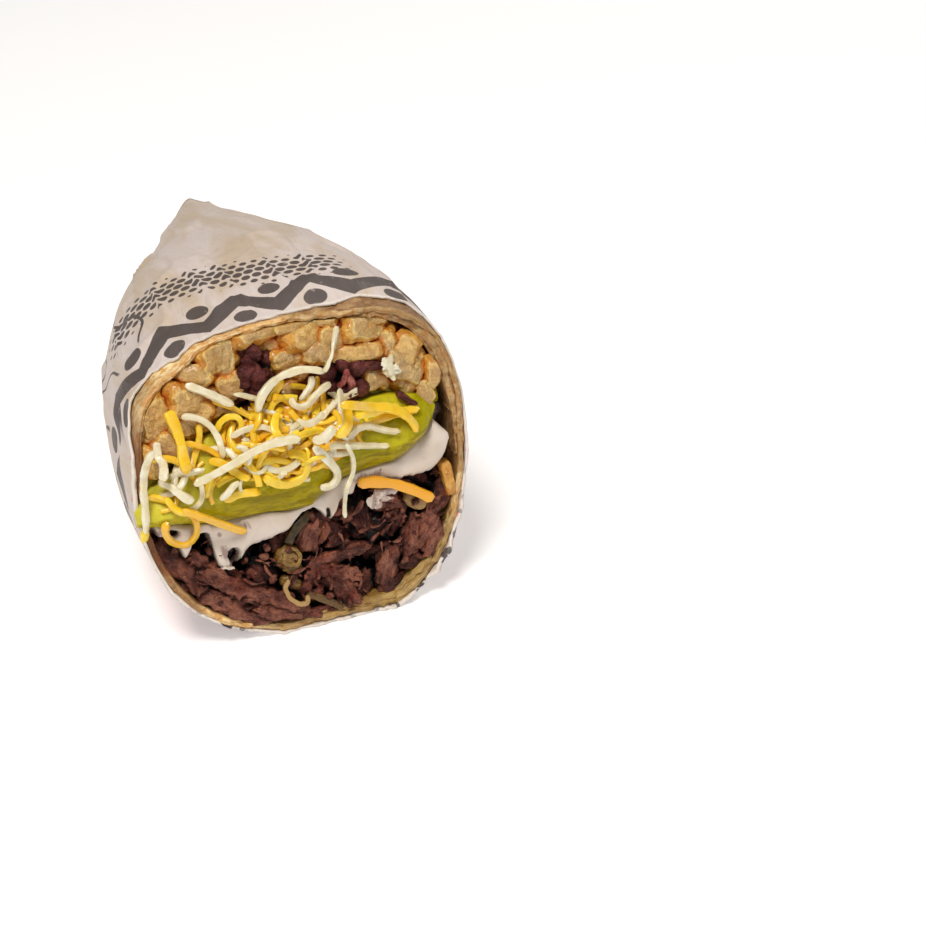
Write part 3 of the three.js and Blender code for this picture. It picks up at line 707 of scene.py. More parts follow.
def buildFries(graph):
    place = graph.place()
    tone, deep = graph.attribute("tone"), graph.attribute("deep")
    mealy = graph.noise(place, 640.0, 4.0, 0.65)
    patch = graph.noise(place, 230.0, 3.0, 0.6)
    flesh = graph.coats(
        graph.mix(mealy.rise(0.32, 0.68), (180, 144, 92), (218, 186, 130)),
        (graph.noise(place, 120.0, 2.0, 0.5).rise(0.42, 0.62) * 0.6, (206, 162, 84)),
        (patch.rise(0.42, 0.66) * 0.4, (176, 142, 92)))
    crust = graph.coats(
        graph.mix(patch.rise(0.35, 0.65), (230, 180, 82), (200, 132, 38)),
        (mealy.rise(0.54, 0.68) * 0.8, (250, 220, 146)),
        (graph.noise(place, 330.0, 3.0).rise(0.56, 0.70) * 0.55, (168, 90, 18)))
    edge = graph.attribute("skin") + tone * 0.3 + (patch - 0.5) * 1.2 + (mealy - 0.5) * 0.9
    base = graph.coats(
        graph.mix(edge.rise(0.45, 0.9), flesh, crust),
        # a bright band where the flesh meets the crust, a painted highlight
        (edge.rise(0.15, 0.35) * (1.0 - edge.rise(0.5, 0.75)) * 0.6, (248, 218, 138)),
        (tone * 0.3, (210, 142, 46)),
        # painted shade in the crevices and far back, orange-brown and then dark brown
        (deep.rise(0.05, 0.7), graph.mix(deep.rise(0.4, 1.0), (214, 120, 18), (140, 64, 8))))
    height = graph.bump(mealy.rise(0.3, 0.7), 0.32)
    return {
        "Base Color": base,
        "Roughness": 0.16 + patch * 0.3,
        "Normal": graph.bump(graph.noise(place, 1500.0, 3.0, 0.6), 0.12, height),
    }


def buildMeat(graph):
    place, grain = graph.place(), graph.attribute("grain", "Vector")
    tone, rim, deep, plum = (graph.attribute(name) for name in ("tone", "rim", "deep", "plum"))
    fibres = graph.noise(graph.stretched(grain, (0.2, 1.0, 1.0)), 1.6, 4.0, 0.65, 0.6)
    threads = graph.noise(graph.stretched(grain, (0.12, 1.0, 1.0)), 4.5, 2.0, 0.6, 0.5)
    patch = graph.noise(place, 260.0, 4.0, 0.65)
    broad = graph.noise(place, 110.0, 2.0, 0.5)
    char = graph.noise(place, 520.0, 4.0, 0.7)
    patches = patch.rise(0.38, 0.62)
    dark = graph.mix(patches, (44, 12, 8), (92, 38, 28))
    pale = graph.mix(patch.rise(0.36, 0.6), (102, 46, 36), (188, 120, 96))
    base = graph.coats(
        graph.mix((tone + (broad - 0.5) * 1.6).rise(0.2, 0.75), dark, pale),
        (broad.rise(0.54, 0.66) * 0.5, (128, 46, 36)),
        (threads.rise(0.54, 0.68) * 0.45, (206, 130, 98)),
        (fibres.rise(0.52, 0.66) * 0.5, (66, 26, 20)),
        # paler pink along the outward rims of the pieces, a painted highlight
        ((rim + (patch - 0.5) * 1.2).rise(0.45, 0.95) * 0.45, (188, 112, 86)),
        (char.rise(0.57, 0.67) * 0.6, (42, 16, 11)),
        (graph.noise(place, 210.0, 2.0).rise(0.64, 0.72) * 0.4, (176, 100, 62)),
        (plum.rise(0.0, 1.0) * 0.7, graph.mix(patches, (82, 26, 28), (144, 74, 74))),
        (-plum * 0.8, graph.mix(patches, (196, 96, 92), (232, 150, 138))),
        # painted shade: dark red-brown, then near black, in the crevices and on what lies far back
        (deep.rise(0.0, 0.5) * 0.65, (70, 18, 10)),
        (deep.rise(0.3, 0.9), (8, 2, 1)))
    height = graph.bump(fibres.rise(0.3, 0.7), 0.5, graph.bump(char.rise(0.35, 0.7), -0.5))
    return {
        "Base Color": base,
        "Roughness": 0.2 + patch * 0.5,
        "Normal": graph.bump(threads.rise(0.3, 0.7), 0.16, height),
    }


def buildGuacamole(graph):
    place = graph.place()
    blend = graph.noise(place, 130.0, 4.0, 0.55, 0.4)
    streak = graph.noise(graph.stretched(place, (0.35, 1.0, 1.3), (0.0, 0.35, 0.0)), 520.0, 3.0, 0.6, 0.5)
    # both colours are painted lighter towards the left end, as painted light
    toLeft = -graph.node("ShaderNodeSeparateXYZ", None, {"Vector": place})
    bright = graph.coats(
        graph.mix(blend.rise(0.32, 0.68), (156, 146, 4), (202, 190, 34)),
        (toLeft.rise(0.008, 0.034) * 0.55, (222, 214, 84)))
    dark = graph.coats(
        graph.mix(streak.rise(0.3, 0.7), (132, 116, 0), (178, 158, 3)),
        (toLeft.rise(0.014, 0.03) * 0.6, (196, 184, 26)))
    # the face under the crest takes the darker colour and the top the lighter one: partly their own colours,
    # partly painted shade and painted light
    base = graph.coats(
        graph.mix(graph.attribute("under"), bright, dark),
        (graph.noise(place, 420.0, 3.0).rise(0.6, 0.72) * 0.35, (204, 194, 60)))
    return {
        "Base Color": base,
        "Roughness": 0.04 + streak * 0.2,
        "Normal": graph.bump(streak, 0.3, graph.bump(blend, 1.6)),
    }


def buildCream(graph):
    place = graph.place()
    smear, hole = graph.attribute("smear"), graph.attribute("hole")
    streaks = graph.noise(graph.stretched(place, (1.0, 1.0, 0.4), (0.0, 0.6, 0.0)), 420.0, 3.0, 0.6, 1.2)
    cloud = graph.noise(place, 120.0, 2.0, 0.5)
    base = graph.coats(
        graph.mix(cloud.rise(0.35, 0.7), (222, 208, 196), (212, 196, 180)),
        ((streaks + smear * 0.5 - 0.5).rise(0.2, 0.48) * 0.75, (134, 104, 98)),
        (graph.noise(place, 700.0, 3.0, 0.6).rise(0.64, 0.7) * smear.rise(0.1, 0.5), (90, 58, 52)),
        # in the wells the meat shows through, and their deepest part is painted near black as shade
        (hole.rise(0.1, 0.5) * 0.7, (96, 52, 44)),
        (hole.rise(0.4, 0.7), (12, 5, 4)))
    return {
        "Base Color": base,
        "Roughness": 0.2 + cloud * 0.14,
        "Normal": graph.bump(cloud, 0.8),
    }


def cheeseOf(light, deepTone, edge):
    def build(graph):
        place = graph.place()
        cloud = graph.noise(place, 420.0, 3.0, 0.55)
        base = graph.coats(
            graph.mix(cloud.rise(0.3, 0.7), light, edge),
            (graph.noise(place, 190.0, 2.0).rise(0.5, 0.7) * 0.5, edge),
            (graph.attribute("tone"), deepTone))
        return {
            "Base Color": base,
            "Roughness": 0.2 + cloud * 0.2,
            "Normal": graph.bump(graph.noise(place, 1100.0, 3.0), 0.07),
        }
    return build


def buildOnion(graph):
    tone = graph.attribute("tone")
    veins = graph.noise(graph.stretched(graph.attribute("grain", "Vector"), (0.22, 1.0, 1.0)), 1.7, 3.0, 0.6)
    cloud = graph.noise(graph.place(), 260.0, 3.0, 0.5)
    base = graph.coats(
        graph.mix(veins.rise(0.35, 0.65), (94, 62, 18), (150, 114, 50)),
        # lighter patches at random, painted highlights
        (cloud.rise(0.5, 0.75) * 0.7, (176, 142, 80)),
        (tone, (182, 146, 92)),
        (-tone, (84, 60, 28)))
    return {
        "Base Color": base,
        "Roughness": 0.2 + cloud * 0.2,
        "Normal": graph.bump(veins, 0.35),
    }


def buildPepper(graph):
    cloud = graph.noise(graph.place(), 300.0, 3.0, 0.55)
    return {
        "Base Color": graph.mix(cloud.rise(0.35, 0.7), (36, 26, 12), (80, 62, 32)),
        "Roughness": 0.22 + cloud * 0.25,
        "Normal": graph.bump(cloud, 0.3),
    }


def buildFloor(graph):
    cloud = graph.noise(graph.place(), 3.0, 2.0)
    return {"Base Color": graph.mix(cloud, (244, 244, 245), (248, 248, 248)), "Roughness": 0.75}


def dull(level):
    return {"Specular IOR Level": level}


def coated(weight, roughness):
    return {"Coat Weight": weight, "Coat Roughness": roughness}


wet = {"Subsurface Weight": 0.12, "Subsurface Radius": (0.8, 0.6, 0.4), "Subsurface Scale": 0.0012}
milky = {"Subsurface Weight": 0.3, "Subsurface Radius": (1.0, 0.8, 0.45), "Subsurface Scale": 0.0015}
glowing = {"Emission Color": (1, 1, 1, 1), "Emission Strength": 0.3}
juicy, glossy = coated(0.1, 0.1), coated(0.4, 0.18)
whiteCheese = cheeseOf((250, 244, 222), (216, 202, 150), (230, 218, 180))
cheddar = cheeseOf((255, 222, 66), (238, 160, 12), (254, 206, 30))
finishes = {
    "paper": makeMaterial("greaseproofPaper", buildPaper),
    "tortilla": makeMaterial("grilledTortilla", buildTortilla),
    "fries": makeMaterial("friedPotato", buildFries, milky, coated(0.3, 0.12)),
    "meat": makeMaterial("grilledBeef", buildMeat, juicy, dull(0.25)),
    "guacamole": makeMaterial("guacamolePaste", buildGuacamole, wet, dull(0.14)),
    "cream": makeMaterial("sourCreamGloss", buildCream, wet),
    "white": makeMaterial("whiteCheese", whiteCheese, milky, glossy),
    "yellow": makeMaterial("cheddar", cheddar, milky, glossy),
    "onion": makeMaterial("cookedOnion", buildOnion, milky, juicy, dull(0.35)),
    "pepper": makeMaterial("pepperSkin", buildPepper, dull(0.3)),
    "floor": makeMaterial("paleTable", buildFloor, glowing),
}
print("finishes made")


def dress(piece, slot, *nodes):
    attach(piece, "root")
    if nodes:
        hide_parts(*nodes)


paperWrap = {
    "segments": 320, "rings": 150, "innerRings": 34, "outerEase": 1.15, "innerEase": 1.5, "rimFade": 10,
    "wall": 0.35, "leaning": 0.85, "seamAt": -80.0, "dents": 0.6, "dentCell": 17.0, "creases": 0.7,
    "creaseCell": (9.0, 30.0, 9.0), "pleats": 7, "pleatDepth": 0.5, "ragged": 0.75, "seed": 3,
    # angle, how far to both sides, and how much
    "flares": [(214.0, 28.0, 0.3), (314.0, 42.0, 0.5), (176.0, 20.0, 0.6)],
    "pushes": [(214.0, 28.0, -0.6), (314.0, 42.0, -1.0), (176.0, 20.0, -0.8)],
    "worn": [(-48.0, 42.0, 1.1), (236.0, 36.0, 0.7)],
    "bits": [(-50.0, 52.0, 1.0), (236.0, 20.0, 1.0)],
    # the folded end is closed by low domes, whose rings are these shares of it
    "domeShares": (0.92, 0.8, 0.62, 0.42, 0.22, 0.08), "domeInside": 1.4, "domeOutside": 1.9,
}


def makePaper():
    form = paperWrap
    angle = form["seamAt"] + np.arange(form["segments"]) * 360.0 / form["segments"]
    rimBack = rimLine(upright(angle))
    spot = bodyPoint(angle, 0.0, 0.0)
    wobble = 0.75 + 0.5 * latticeNoise(spot, 5.0, 21) + 0.7 * roughNoise(spot, 1.9, 22, 2)
    flares = humps(angle, form["flares"])
    worn = form["ragged"] * (1 + humps(angle, form["worn"]))
    ragged = roughNoise(spot, 2.4, 17, 4) * worn + 0.4 * latticeNoise(spot, 11.0, 2)
    shift = rimBack + ragged + humps(angle, form["pushes"])

    def wrinkle(along):
        flat = bodyPoint(angle, along, 0.0)
        dents = roughNoise(flat, form["dentCell"], form["seed"], 3) * form["dents"] * (1 - 0.6 * along ** 3)
        ridge = 1 - 2 * np.abs(latticeNoise(flat, form["creaseCell"], form["seed"] + 9))
        crease = smoothStep(ridge, 0.55, 1.0) * form["creases"]
        saw = (np.radians(angle) * form["pleats"] / (2 * np.pi) + 0.35 * latticeNoise(flat, 30.0, 5)) % 1.0
        pleat = (smoothStep(saw, 0.0, 0.75) - smoothStep(saw, 0.75, 1.0) - 0.5) * form["pleatDepth"]
        calm = 0.25 + 0.75 * smoothStep(along, 0.02, 0.16)
        return np.clip((dents - crease) * calm + pleat * smoothStep(along, 0.62, 1.0), -1.4, 0.4 * calm)

    def flare(along):
        return max(0.0, 1 - along / 0.07) ** 2 * wobble * flares

    def outer(along):
        depth = along * body["length"] + rimBack * (1 - along) ** form["rimFade"]
        return wrinkle(along) - flare(along) + pinch(angle, depth) * body["paperShare"]

    def inner(along):
        # the rim leans on the tortilla
        leaning = (body["gap"] + flare(along)) * (1 - smoothStep(along, 0.01, 0.05))
        return outer(along) + form["wall"] + form["leaning"] * leaning

    def wrapped(alongs, inset):
        # rings from the cut to the folded end
        rings = []
        for along in alongs:
            points = bodyPoint(angle, along, inset(along))
            points[:, 1] += shift * (1 - along) ** form["rimFade"]
            rings.append(points)
        return rings

    def dome(ring, lift):
        rings = []
        for share in form["domeShares"]:
            points = endMiddle + (ring - endMiddle) * [share, 0, share]
            fold = 0.5 * latticeNoise(points, (4.0, 9.0, 9.0), 12)
            points[:, 1] = body["length"] + lift * (1 - share ** 2) + fold * (1 - share)
            rings.append(points)
        return rings

    endMiddle = np.array([body["endAcross"], body["length"], body["endHeight"]])
    outerAlong = np.linspace(0, 1, form["rings"]) ** form["outerEase"]
    innerAlong = np.linspace(0, 1, form["innerRings"]) ** form["innerEase"]
    outside, inside = wrapped(outerAlong, outer), wrapped(innerAlong, inner)
    domes = dome(inside[-1], form["domeInside"]), dome(outside[-1], form["domeOutside"])
    rings = np.array(domes[0][::-1] + inside[::-1] + outside + domes[1])
    rings[..., 2] = np.maximum(rings[..., 2], 0.0)
    points, faces = loft(rings)
    points[-2:, 0], points[-2:, 2] = endMiddle[0], endMiddle[2]

    # the print follows the paper, in tenths of a metre round it and along it
    count, around = rings.shape[:2]
    ends = len(form["domeShares"])
    rim = ends + form["innerRings"]  # the first ring outside
    along = np.concatenate([np.ones(ends), innerAlong[::-1], outerAlong, np.ones(ends)])
    keep = taper(along, body["sideTaper"])
    mean = keep * body["radius"] + (1 - keep) * (body["endHalfWidth"] + body["endHalfHeight"]) / 2
    turn = np.radians(np.arange(around + 1) * 360.0 / around - 180.0)
    u = turn[None, :] * mean[:, None] / 100
    v = np.repeat((along * body["length"])[:, None], around + 1, 1) / 100
    v[-ends:] += np.linspace(0.01, 0.1, ends)[:, None]
    v[:rim] += 2.0
    places = np.stack([u, v], -1)
    column = np.arange(around)
    i, j = np.meshgrid(np.arange(count - 1), column, indexing="ij")
    quads = np.stack([places[i, j], places[i, j + 1], places[i + 1, j + 1], places[i + 1, j]], 2)
    uv = [quads.reshape(-1, 2)]
    for ring, (first, second) in ((0, (1, 0)), (count - 1, (0, 1))):
        start, stop = places[ring, column + first], places[ring, column + second]
        uv.append(np.stack([start, stop, start], 1).reshape(-1, 2))

    torn, bits = np.zeros((count, around)), np.zeros((count, around))
    torn[rim - 1:rim + 2] = [[0.7], [1.0], [0.5]]
    torn *= 1 - 0.6 * hump(angleGap(angle, 110.0), 60.0)
    bits[rim - 5:rim + 1] = humps(angle, form["bits"])
    values = {key: np.append(value.ravel(), [0, 0]) for key, value in (("torn", torn), ("bits", bits))}
    return makePiece("paperSheet", points, faces, "paper", values, np.concatenate(uv), tidy=False)


dress(makePaper(), "paper", "paper_wrap")
print("paper made")


tortilla = {
    "segments": 300, "frontRings": 26, "backRings": 30, "edgeRows": 9, "layer": 1.72, "edgeRough": 0.5,
    "skinRough": 0.16, "wrinkles": 0.35, "rimFade": 12, "lapBack": 0.42, "lapColumns": 96, "seed": 41,
    # depth, thickness, angle, how far to both sides, and how far back
    "laps": [(1.36, 1.9, 30.0, 42.0, 0.12), (2.96, 1.9, 32.0, 27.0, 0.3), (1.36, 1.5, -58.0, 42.0, 0.1)],
    # what colours the skin and the cut: angle, how far to both sides, and how much. The pale skin on the upper
    # left is partly painted light where it faces the key lamp, and the darkening on the upper right is toasting
    # and partly painted shade
    "tones": {"oily": [(-62.0, 68.0, 1.3)], "pale": [(128.0, 62.0, 1.5)], "toastedAndShaded": [(32.0, 66.0, 1.3)],
              "burnt": [(184.0, 56.0, 1.5)]},
}


def makeTortilla():
    form = tortilla
    skin = body["paper"]
    batch = Batch()

    def rows(base, thick, angles, alongs, seed, shift):
        spot = bodyPoint(angles, 0.0, 0.0)
        ragged = 0.9 * roughNoise(spot, 2.6, seed, 4) + 0.6 * latticeNoise(spot, 9.0, seed + 1)
        outer, inner = [], []
        for along in alongs:
            spot = bodyPoint(angles, along, 0.0)
            uneven = 1 + 0.05 * latticeNoise(spot, (5.0, 3.0, 5.0), seed + 2)
            pressed = pinch(angles, along * body["length"]) * uneven
            pressed = base + body["gap"] * smoothStep(along, 0.02, 0.2) + pressed
            ridges = np.abs(latticeNoise(spot, (4.5, 1.3, 4.5), seed + 6)) * form["wrinkles"]
            ridges = ridges * (1 - smoothStep(along, 0.05, 0.12)) * (base == skin)
            outerRough, innerRough = (form["skinRough"] * roughNoise(spot, cell, seed + more, 3)
                                      for cell, more in ((4.0, 0), (3.0, 3)))
            outer.append(bodyPoint(angles, along, pressed + 0.05 + ridges + outerRough))
            inner.append(bodyPoint(angles, along, pressed + thick - innerRough))
        outer, inner = np.array(outer), np.array(inner)
        move = (ragged + shift)[None, :] * ((1 - alongs) ** form["rimFade"])[:, None]
        outer[..., 1] += move
        inner[..., 1] += move
        return outer, inner

    def edge(outerFront, innerFront, seed):
        made = []
        for share in np.linspace(0, 1, form["edgeRows"] + 2)[1:-1]:
            points = outerFront + (innerFront - outerFront) * share
            bulge = 0.3 * math.sin(math.pi * share)
            rough = form["edgeRough"] * roughNoise(points, (2.2, 1.2, 1.2), seed, 3)
            made.append(points - np.array([0, 1.0, 0]) * (bulge + rough)[:, None])
        return np.array(made)

    def addLayer(outer, inner, edgeSeed, cutTones, layer, number):
        # number 0 goes all the way round, and a lap is a strip with two ends
        front = edge(outer[0], inner[0], edgeSeed)
        loop = np.concatenate([outer[::-1], front, inner])
        points, faces = loft(loop.transpose(1, 0, 2) if number else loop)
        sizes = len(outer), len(front), len(inner)
        cut = np.repeat([cutTones[0], 1.0, cutTones[2]], sizes)
        cut[len(outer) - len(cutTones[1]):len(outer)] = cutTones[1]
        inset = np.concatenate([np.zeros(sizes[0]), np.linspace(0, 1, sizes[1]), np.ones(sizes[2])]) + number
        spread, columns = np.tile if number else np.repeat, outer.shape[1]
        poles = ([0.5, 0.5], [0.5, 0.5]) if number else ([0, 0], [0, 1])
        batch.add(points, faces, cut=np.append(spread(cut, columns), poles[0]), layer=layer,
                  inset=np.append(spread(inset, columns), poles[1]))

    angle = np.arange(form["segments"]) * 360.0 / form["segments"]
    alongs = np.concatenate([
        np.linspace(0, 0.12, form["frontRings"], endpoint=False), np.linspace(0.12, 1, form["backRings"])])
    outer, inner = rows(skin, form["layer"], angle, alongs, form["seed"], 0.0)
    addLayer(outer, inner, form["seed"] + 7, (0.0, (0.35, 0.8), 0.35), 0.0, 0)
    alongs = np.concatenate([np.linspace(0, 0.1, 14, endpoint=False), np.linspace(0.1, form["lapBack"], 8)])
    for number, (depth, thick, at, half, back) in enumerate(form["laps"]):
        angles = np.linspace(at - half * 0.93, at + half * 0.93, form["lapColumns"])
        room = tortillaWall(angles) - depth + 0.12
        width = np.clip(room, 0.12, thick + 0.3)
        shift = 0.15 + back * 1.2 + 0.8 * (1 - np.clip(room / thick, 0, 1))
        outer, inner = rows(skin + depth, width, angles, alongs, form["seed"] + 13 * (number + 1), shift)
        shade = 0.4 + 0.3 * (number % 2)
        addLayer(outer, inner, form["seed"] + 11 * number, (0.3, (0.8,), 0.4), shade, number + 1)
    points = np.concatenate(batch.points)
    turn = points - cutMiddle
    turn = np.degrees(np.arctan2(turn @ upAxis, turn[:, 0]))
    uneven = 0.3 * latticeNoise(points, 7.0, 77)
    for key, spots in form["tones"].items():
        batch.values[key] = [np.clip(humps(turn, spots) + uneven, 0, 1)]
    return batch.piece("tortillaRoll", "tortilla")


dress(makeTortilla(), "tortilla", "tortilla")
print("tortilla made")


fries = {
    "ends": [  # across, up, width, height, turn
        (-17.8, 30.4, 7.0, 6.4, 4), (-19.8, 26.0, 9.8, 5.2, -14), (-11.8, 29.4, 6.6, 9.4, -8),
        (-12.6, 23.7, 6.0, 5.6, 10), (-6.0, 32.4, 10.6, 5.6, 3), (4.4, 30.4, 10.6, 6.2, 2),
        (-0.6, 27.8, 6.4, 3.8, 8), (12.0, 29.6, 8.2, 6.2, -8), (19.4, 28.9, 11.6, 6.6, -12),
        (27.2, 25.0, 6.4, 6.4, 0), (18.6, 23.6, 12.0, 4.4, -3), (20.3, 16.5, 7.2, 5.6, -10),
        (29.2, 17.6, 10.8, 7.6, -24), (33.6, 16.2, 4.6, 6.0, -16), (35.4, 11.3, 4.0, 7.0, 0),
        (2.6, 34.2, 9.0, 3.6, -4), (12.6, 33.6, 9.0, 3.6, -12), (-24.8, 21.8, 8.6, 8.2, -6),
        (-31.4, 19.7, 6.4, 11.0, 12), (-20.6, 18.0, 8.4, 6.4, -24), (1.4, 24.4, 8.0, 5.0, 14),
        (8.8, 25.0, 6.4, 5.0, -8), (-29.4, 11.4, 7.0, 6.4, 20), (-34.4, 9.6, 5.0, 7.4, 10),
        (-25.2, 14.2, 7.0, 5.4, -10), (-15.6, 17.6, 6.0, 5.0, 0), (32.2, 22.4, 6.0, 7.0, -38),
        (36.2, 16.0, 3.8, 7.4, -14), (22.8, 31.2, 7.0, 4.2, -24),
    ],
    "fillers": 56, "fillerArea": ((-36, 36), (8, 36)), "fillerMesh": (24, 22), "mesh": (40, 40), "seed": 5,
    "reachBack": 16.0, "out": (0.4, 1.9), "lumps": 0.5, "crisp": 0.9, "torn": 1.0, "lip": 0.5,
}


pocket = {
    "columns": [(-6.0, 21.5, 4.2, 8.2), (14.4, 18.8, 4.6, 6.0)],
    "chunks": 58, "size": (3.2, 5.8), "mesh": (26, 24), "rough": 0.35, "seed": 14,
    # across, up, out, length, width, turn, tone, plum
    "extras": [
        (13.9, 19.4, 2.4, 4.0, 1.7, 66, 1.0, -1.0), (15.2, 18.0, 2.2, 3.4, 1.4, 100, 1.0, -0.9),
        (12.9, 18.2, 2.0, 2.6, 1.2, 40, 1.0, -0.8), (21.0, 20.6, 0.6, 5.4, 3.0, -4, 0.6, 0.9),
        (28.0, 11.6, 3.6, 5.4, 1.5, -38, 0.3, 0.5)],
}


def drawn(draw, spans):
    return tuple(draw.uniform(*span) for span in spans)


def foodReach(across, up):
    # how far inside the tortilla a place on the cut is
    angle = np.degrees(np.arctan2(up, across))
    inset = body["paper"] + body["gap"] + tortillaWall(angle) + body["gap"]
    edge = sectionRadius(angle) + body["paper"] + body["gap"] - inset - pinch(angle, 0.0)
    return edge - np.hypot(across, up)


def makeFries():
    form = fries
    draw = np.random.default_rng(form["seed"])
    batch = Batch()

    def one(across, up, width, height, turn, front, power, seed, tone, fine):
        length = form["reachBack"] + draw.uniform(-2, 2)
        frameOf = turned(turn) @ turned(0, 90 + draw.uniform(-24, 24), 0) @ turned(draw.uniform(-20, 20))
        points, faces, unit, local = lump(
            (across, up, front - length / 2), (length, height * 1.2, width * 1.2), frameOf, power, *fine,
            (form["lumps"], 4.2), seed=seed, frill=(form["crisp"], 1.3), torn=(form["torn"], 2.0, (1, 2)))
        # nothing reaches into the tortilla
        across, up, _ = faceOf(points)
        over = np.clip(-0.6 - foodReach(across, up), 0, 8) / (np.hypot(across, up) + 1e-6)
        points = points - (across * over)[:, None] * acrossAxis - (up * over)[:, None] * upAxis
        side = np.maximum(np.abs(unit[:, 1]), np.abs(unit[:, 2]))
        frontFace = smoothStep(np.abs(unit[:, 0]), 0.74, 0.95)
        skin = np.clip(1 - frontFace * (1 - smoothStep(side, 0.66, 0.95)), 0, 1)
        # a crisp lip round the soft end
        crust = smoothStep(side, 0.6, 0.92) * (1 - smoothStep(side, 0.97, 1.0)) - 0.5
        lip = form["lip"] * frontFace * crust * (1 + latticeNoise(local, 1.4, seed))
        batch.add(points + outAxis * lip[:, None], faces, skin=skin, tone=tone)

    for i, (across, up, width, height, turn) in enumerate(form["ends"]):
        one(across, up, width, height, turn, draw.uniform(*form["out"]), draw.uniform(3.2, 5.0), 100 + i,
            draw.choice([0.1, 0.3, 0.9]), form["mesh"])
    made = 0
    while made < form["fillers"]:
        across, up = drawn(draw, form["fillerArea"])
        inPocket = any(((across - x) / (w + 1)) ** 2 + ((up - y) / (h + 1)) ** 2 < 1.3
                       for x, y, w, h in pocket["columns"])
        if foodReach(across, up) < 1.2 or up < topLine(across) + 1.0 or inPocket:
            continue
        width, height = draw.uniform(4.5, 8.0), draw.uniform(3.6, 6.0)
        one(across, up, width, height, draw.uniform(-40, 40), draw.uniform(-1.6, 0.6), 3.0, 300 + made,
            draw.uniform(0.3, 1.0), form["fillerMesh"])
        made += 1
    batch.shade(Relief(np.concatenate(batch.points), 2.0), 0.1, 1.7)
    return batch.piece("friesEnds", "fries")


# the core behind the fry ends is painted in shade through its deep mark
friesCore = valued(coreOf("fries", -4.2, 0.9, 1.6, 4.0, 3), skin=1.0, tone=1.0, deep=0.85)
dress(joined("friesHeap", [makeFries(), friesCore], "fries"), "fries", "fries")
print("fries made")


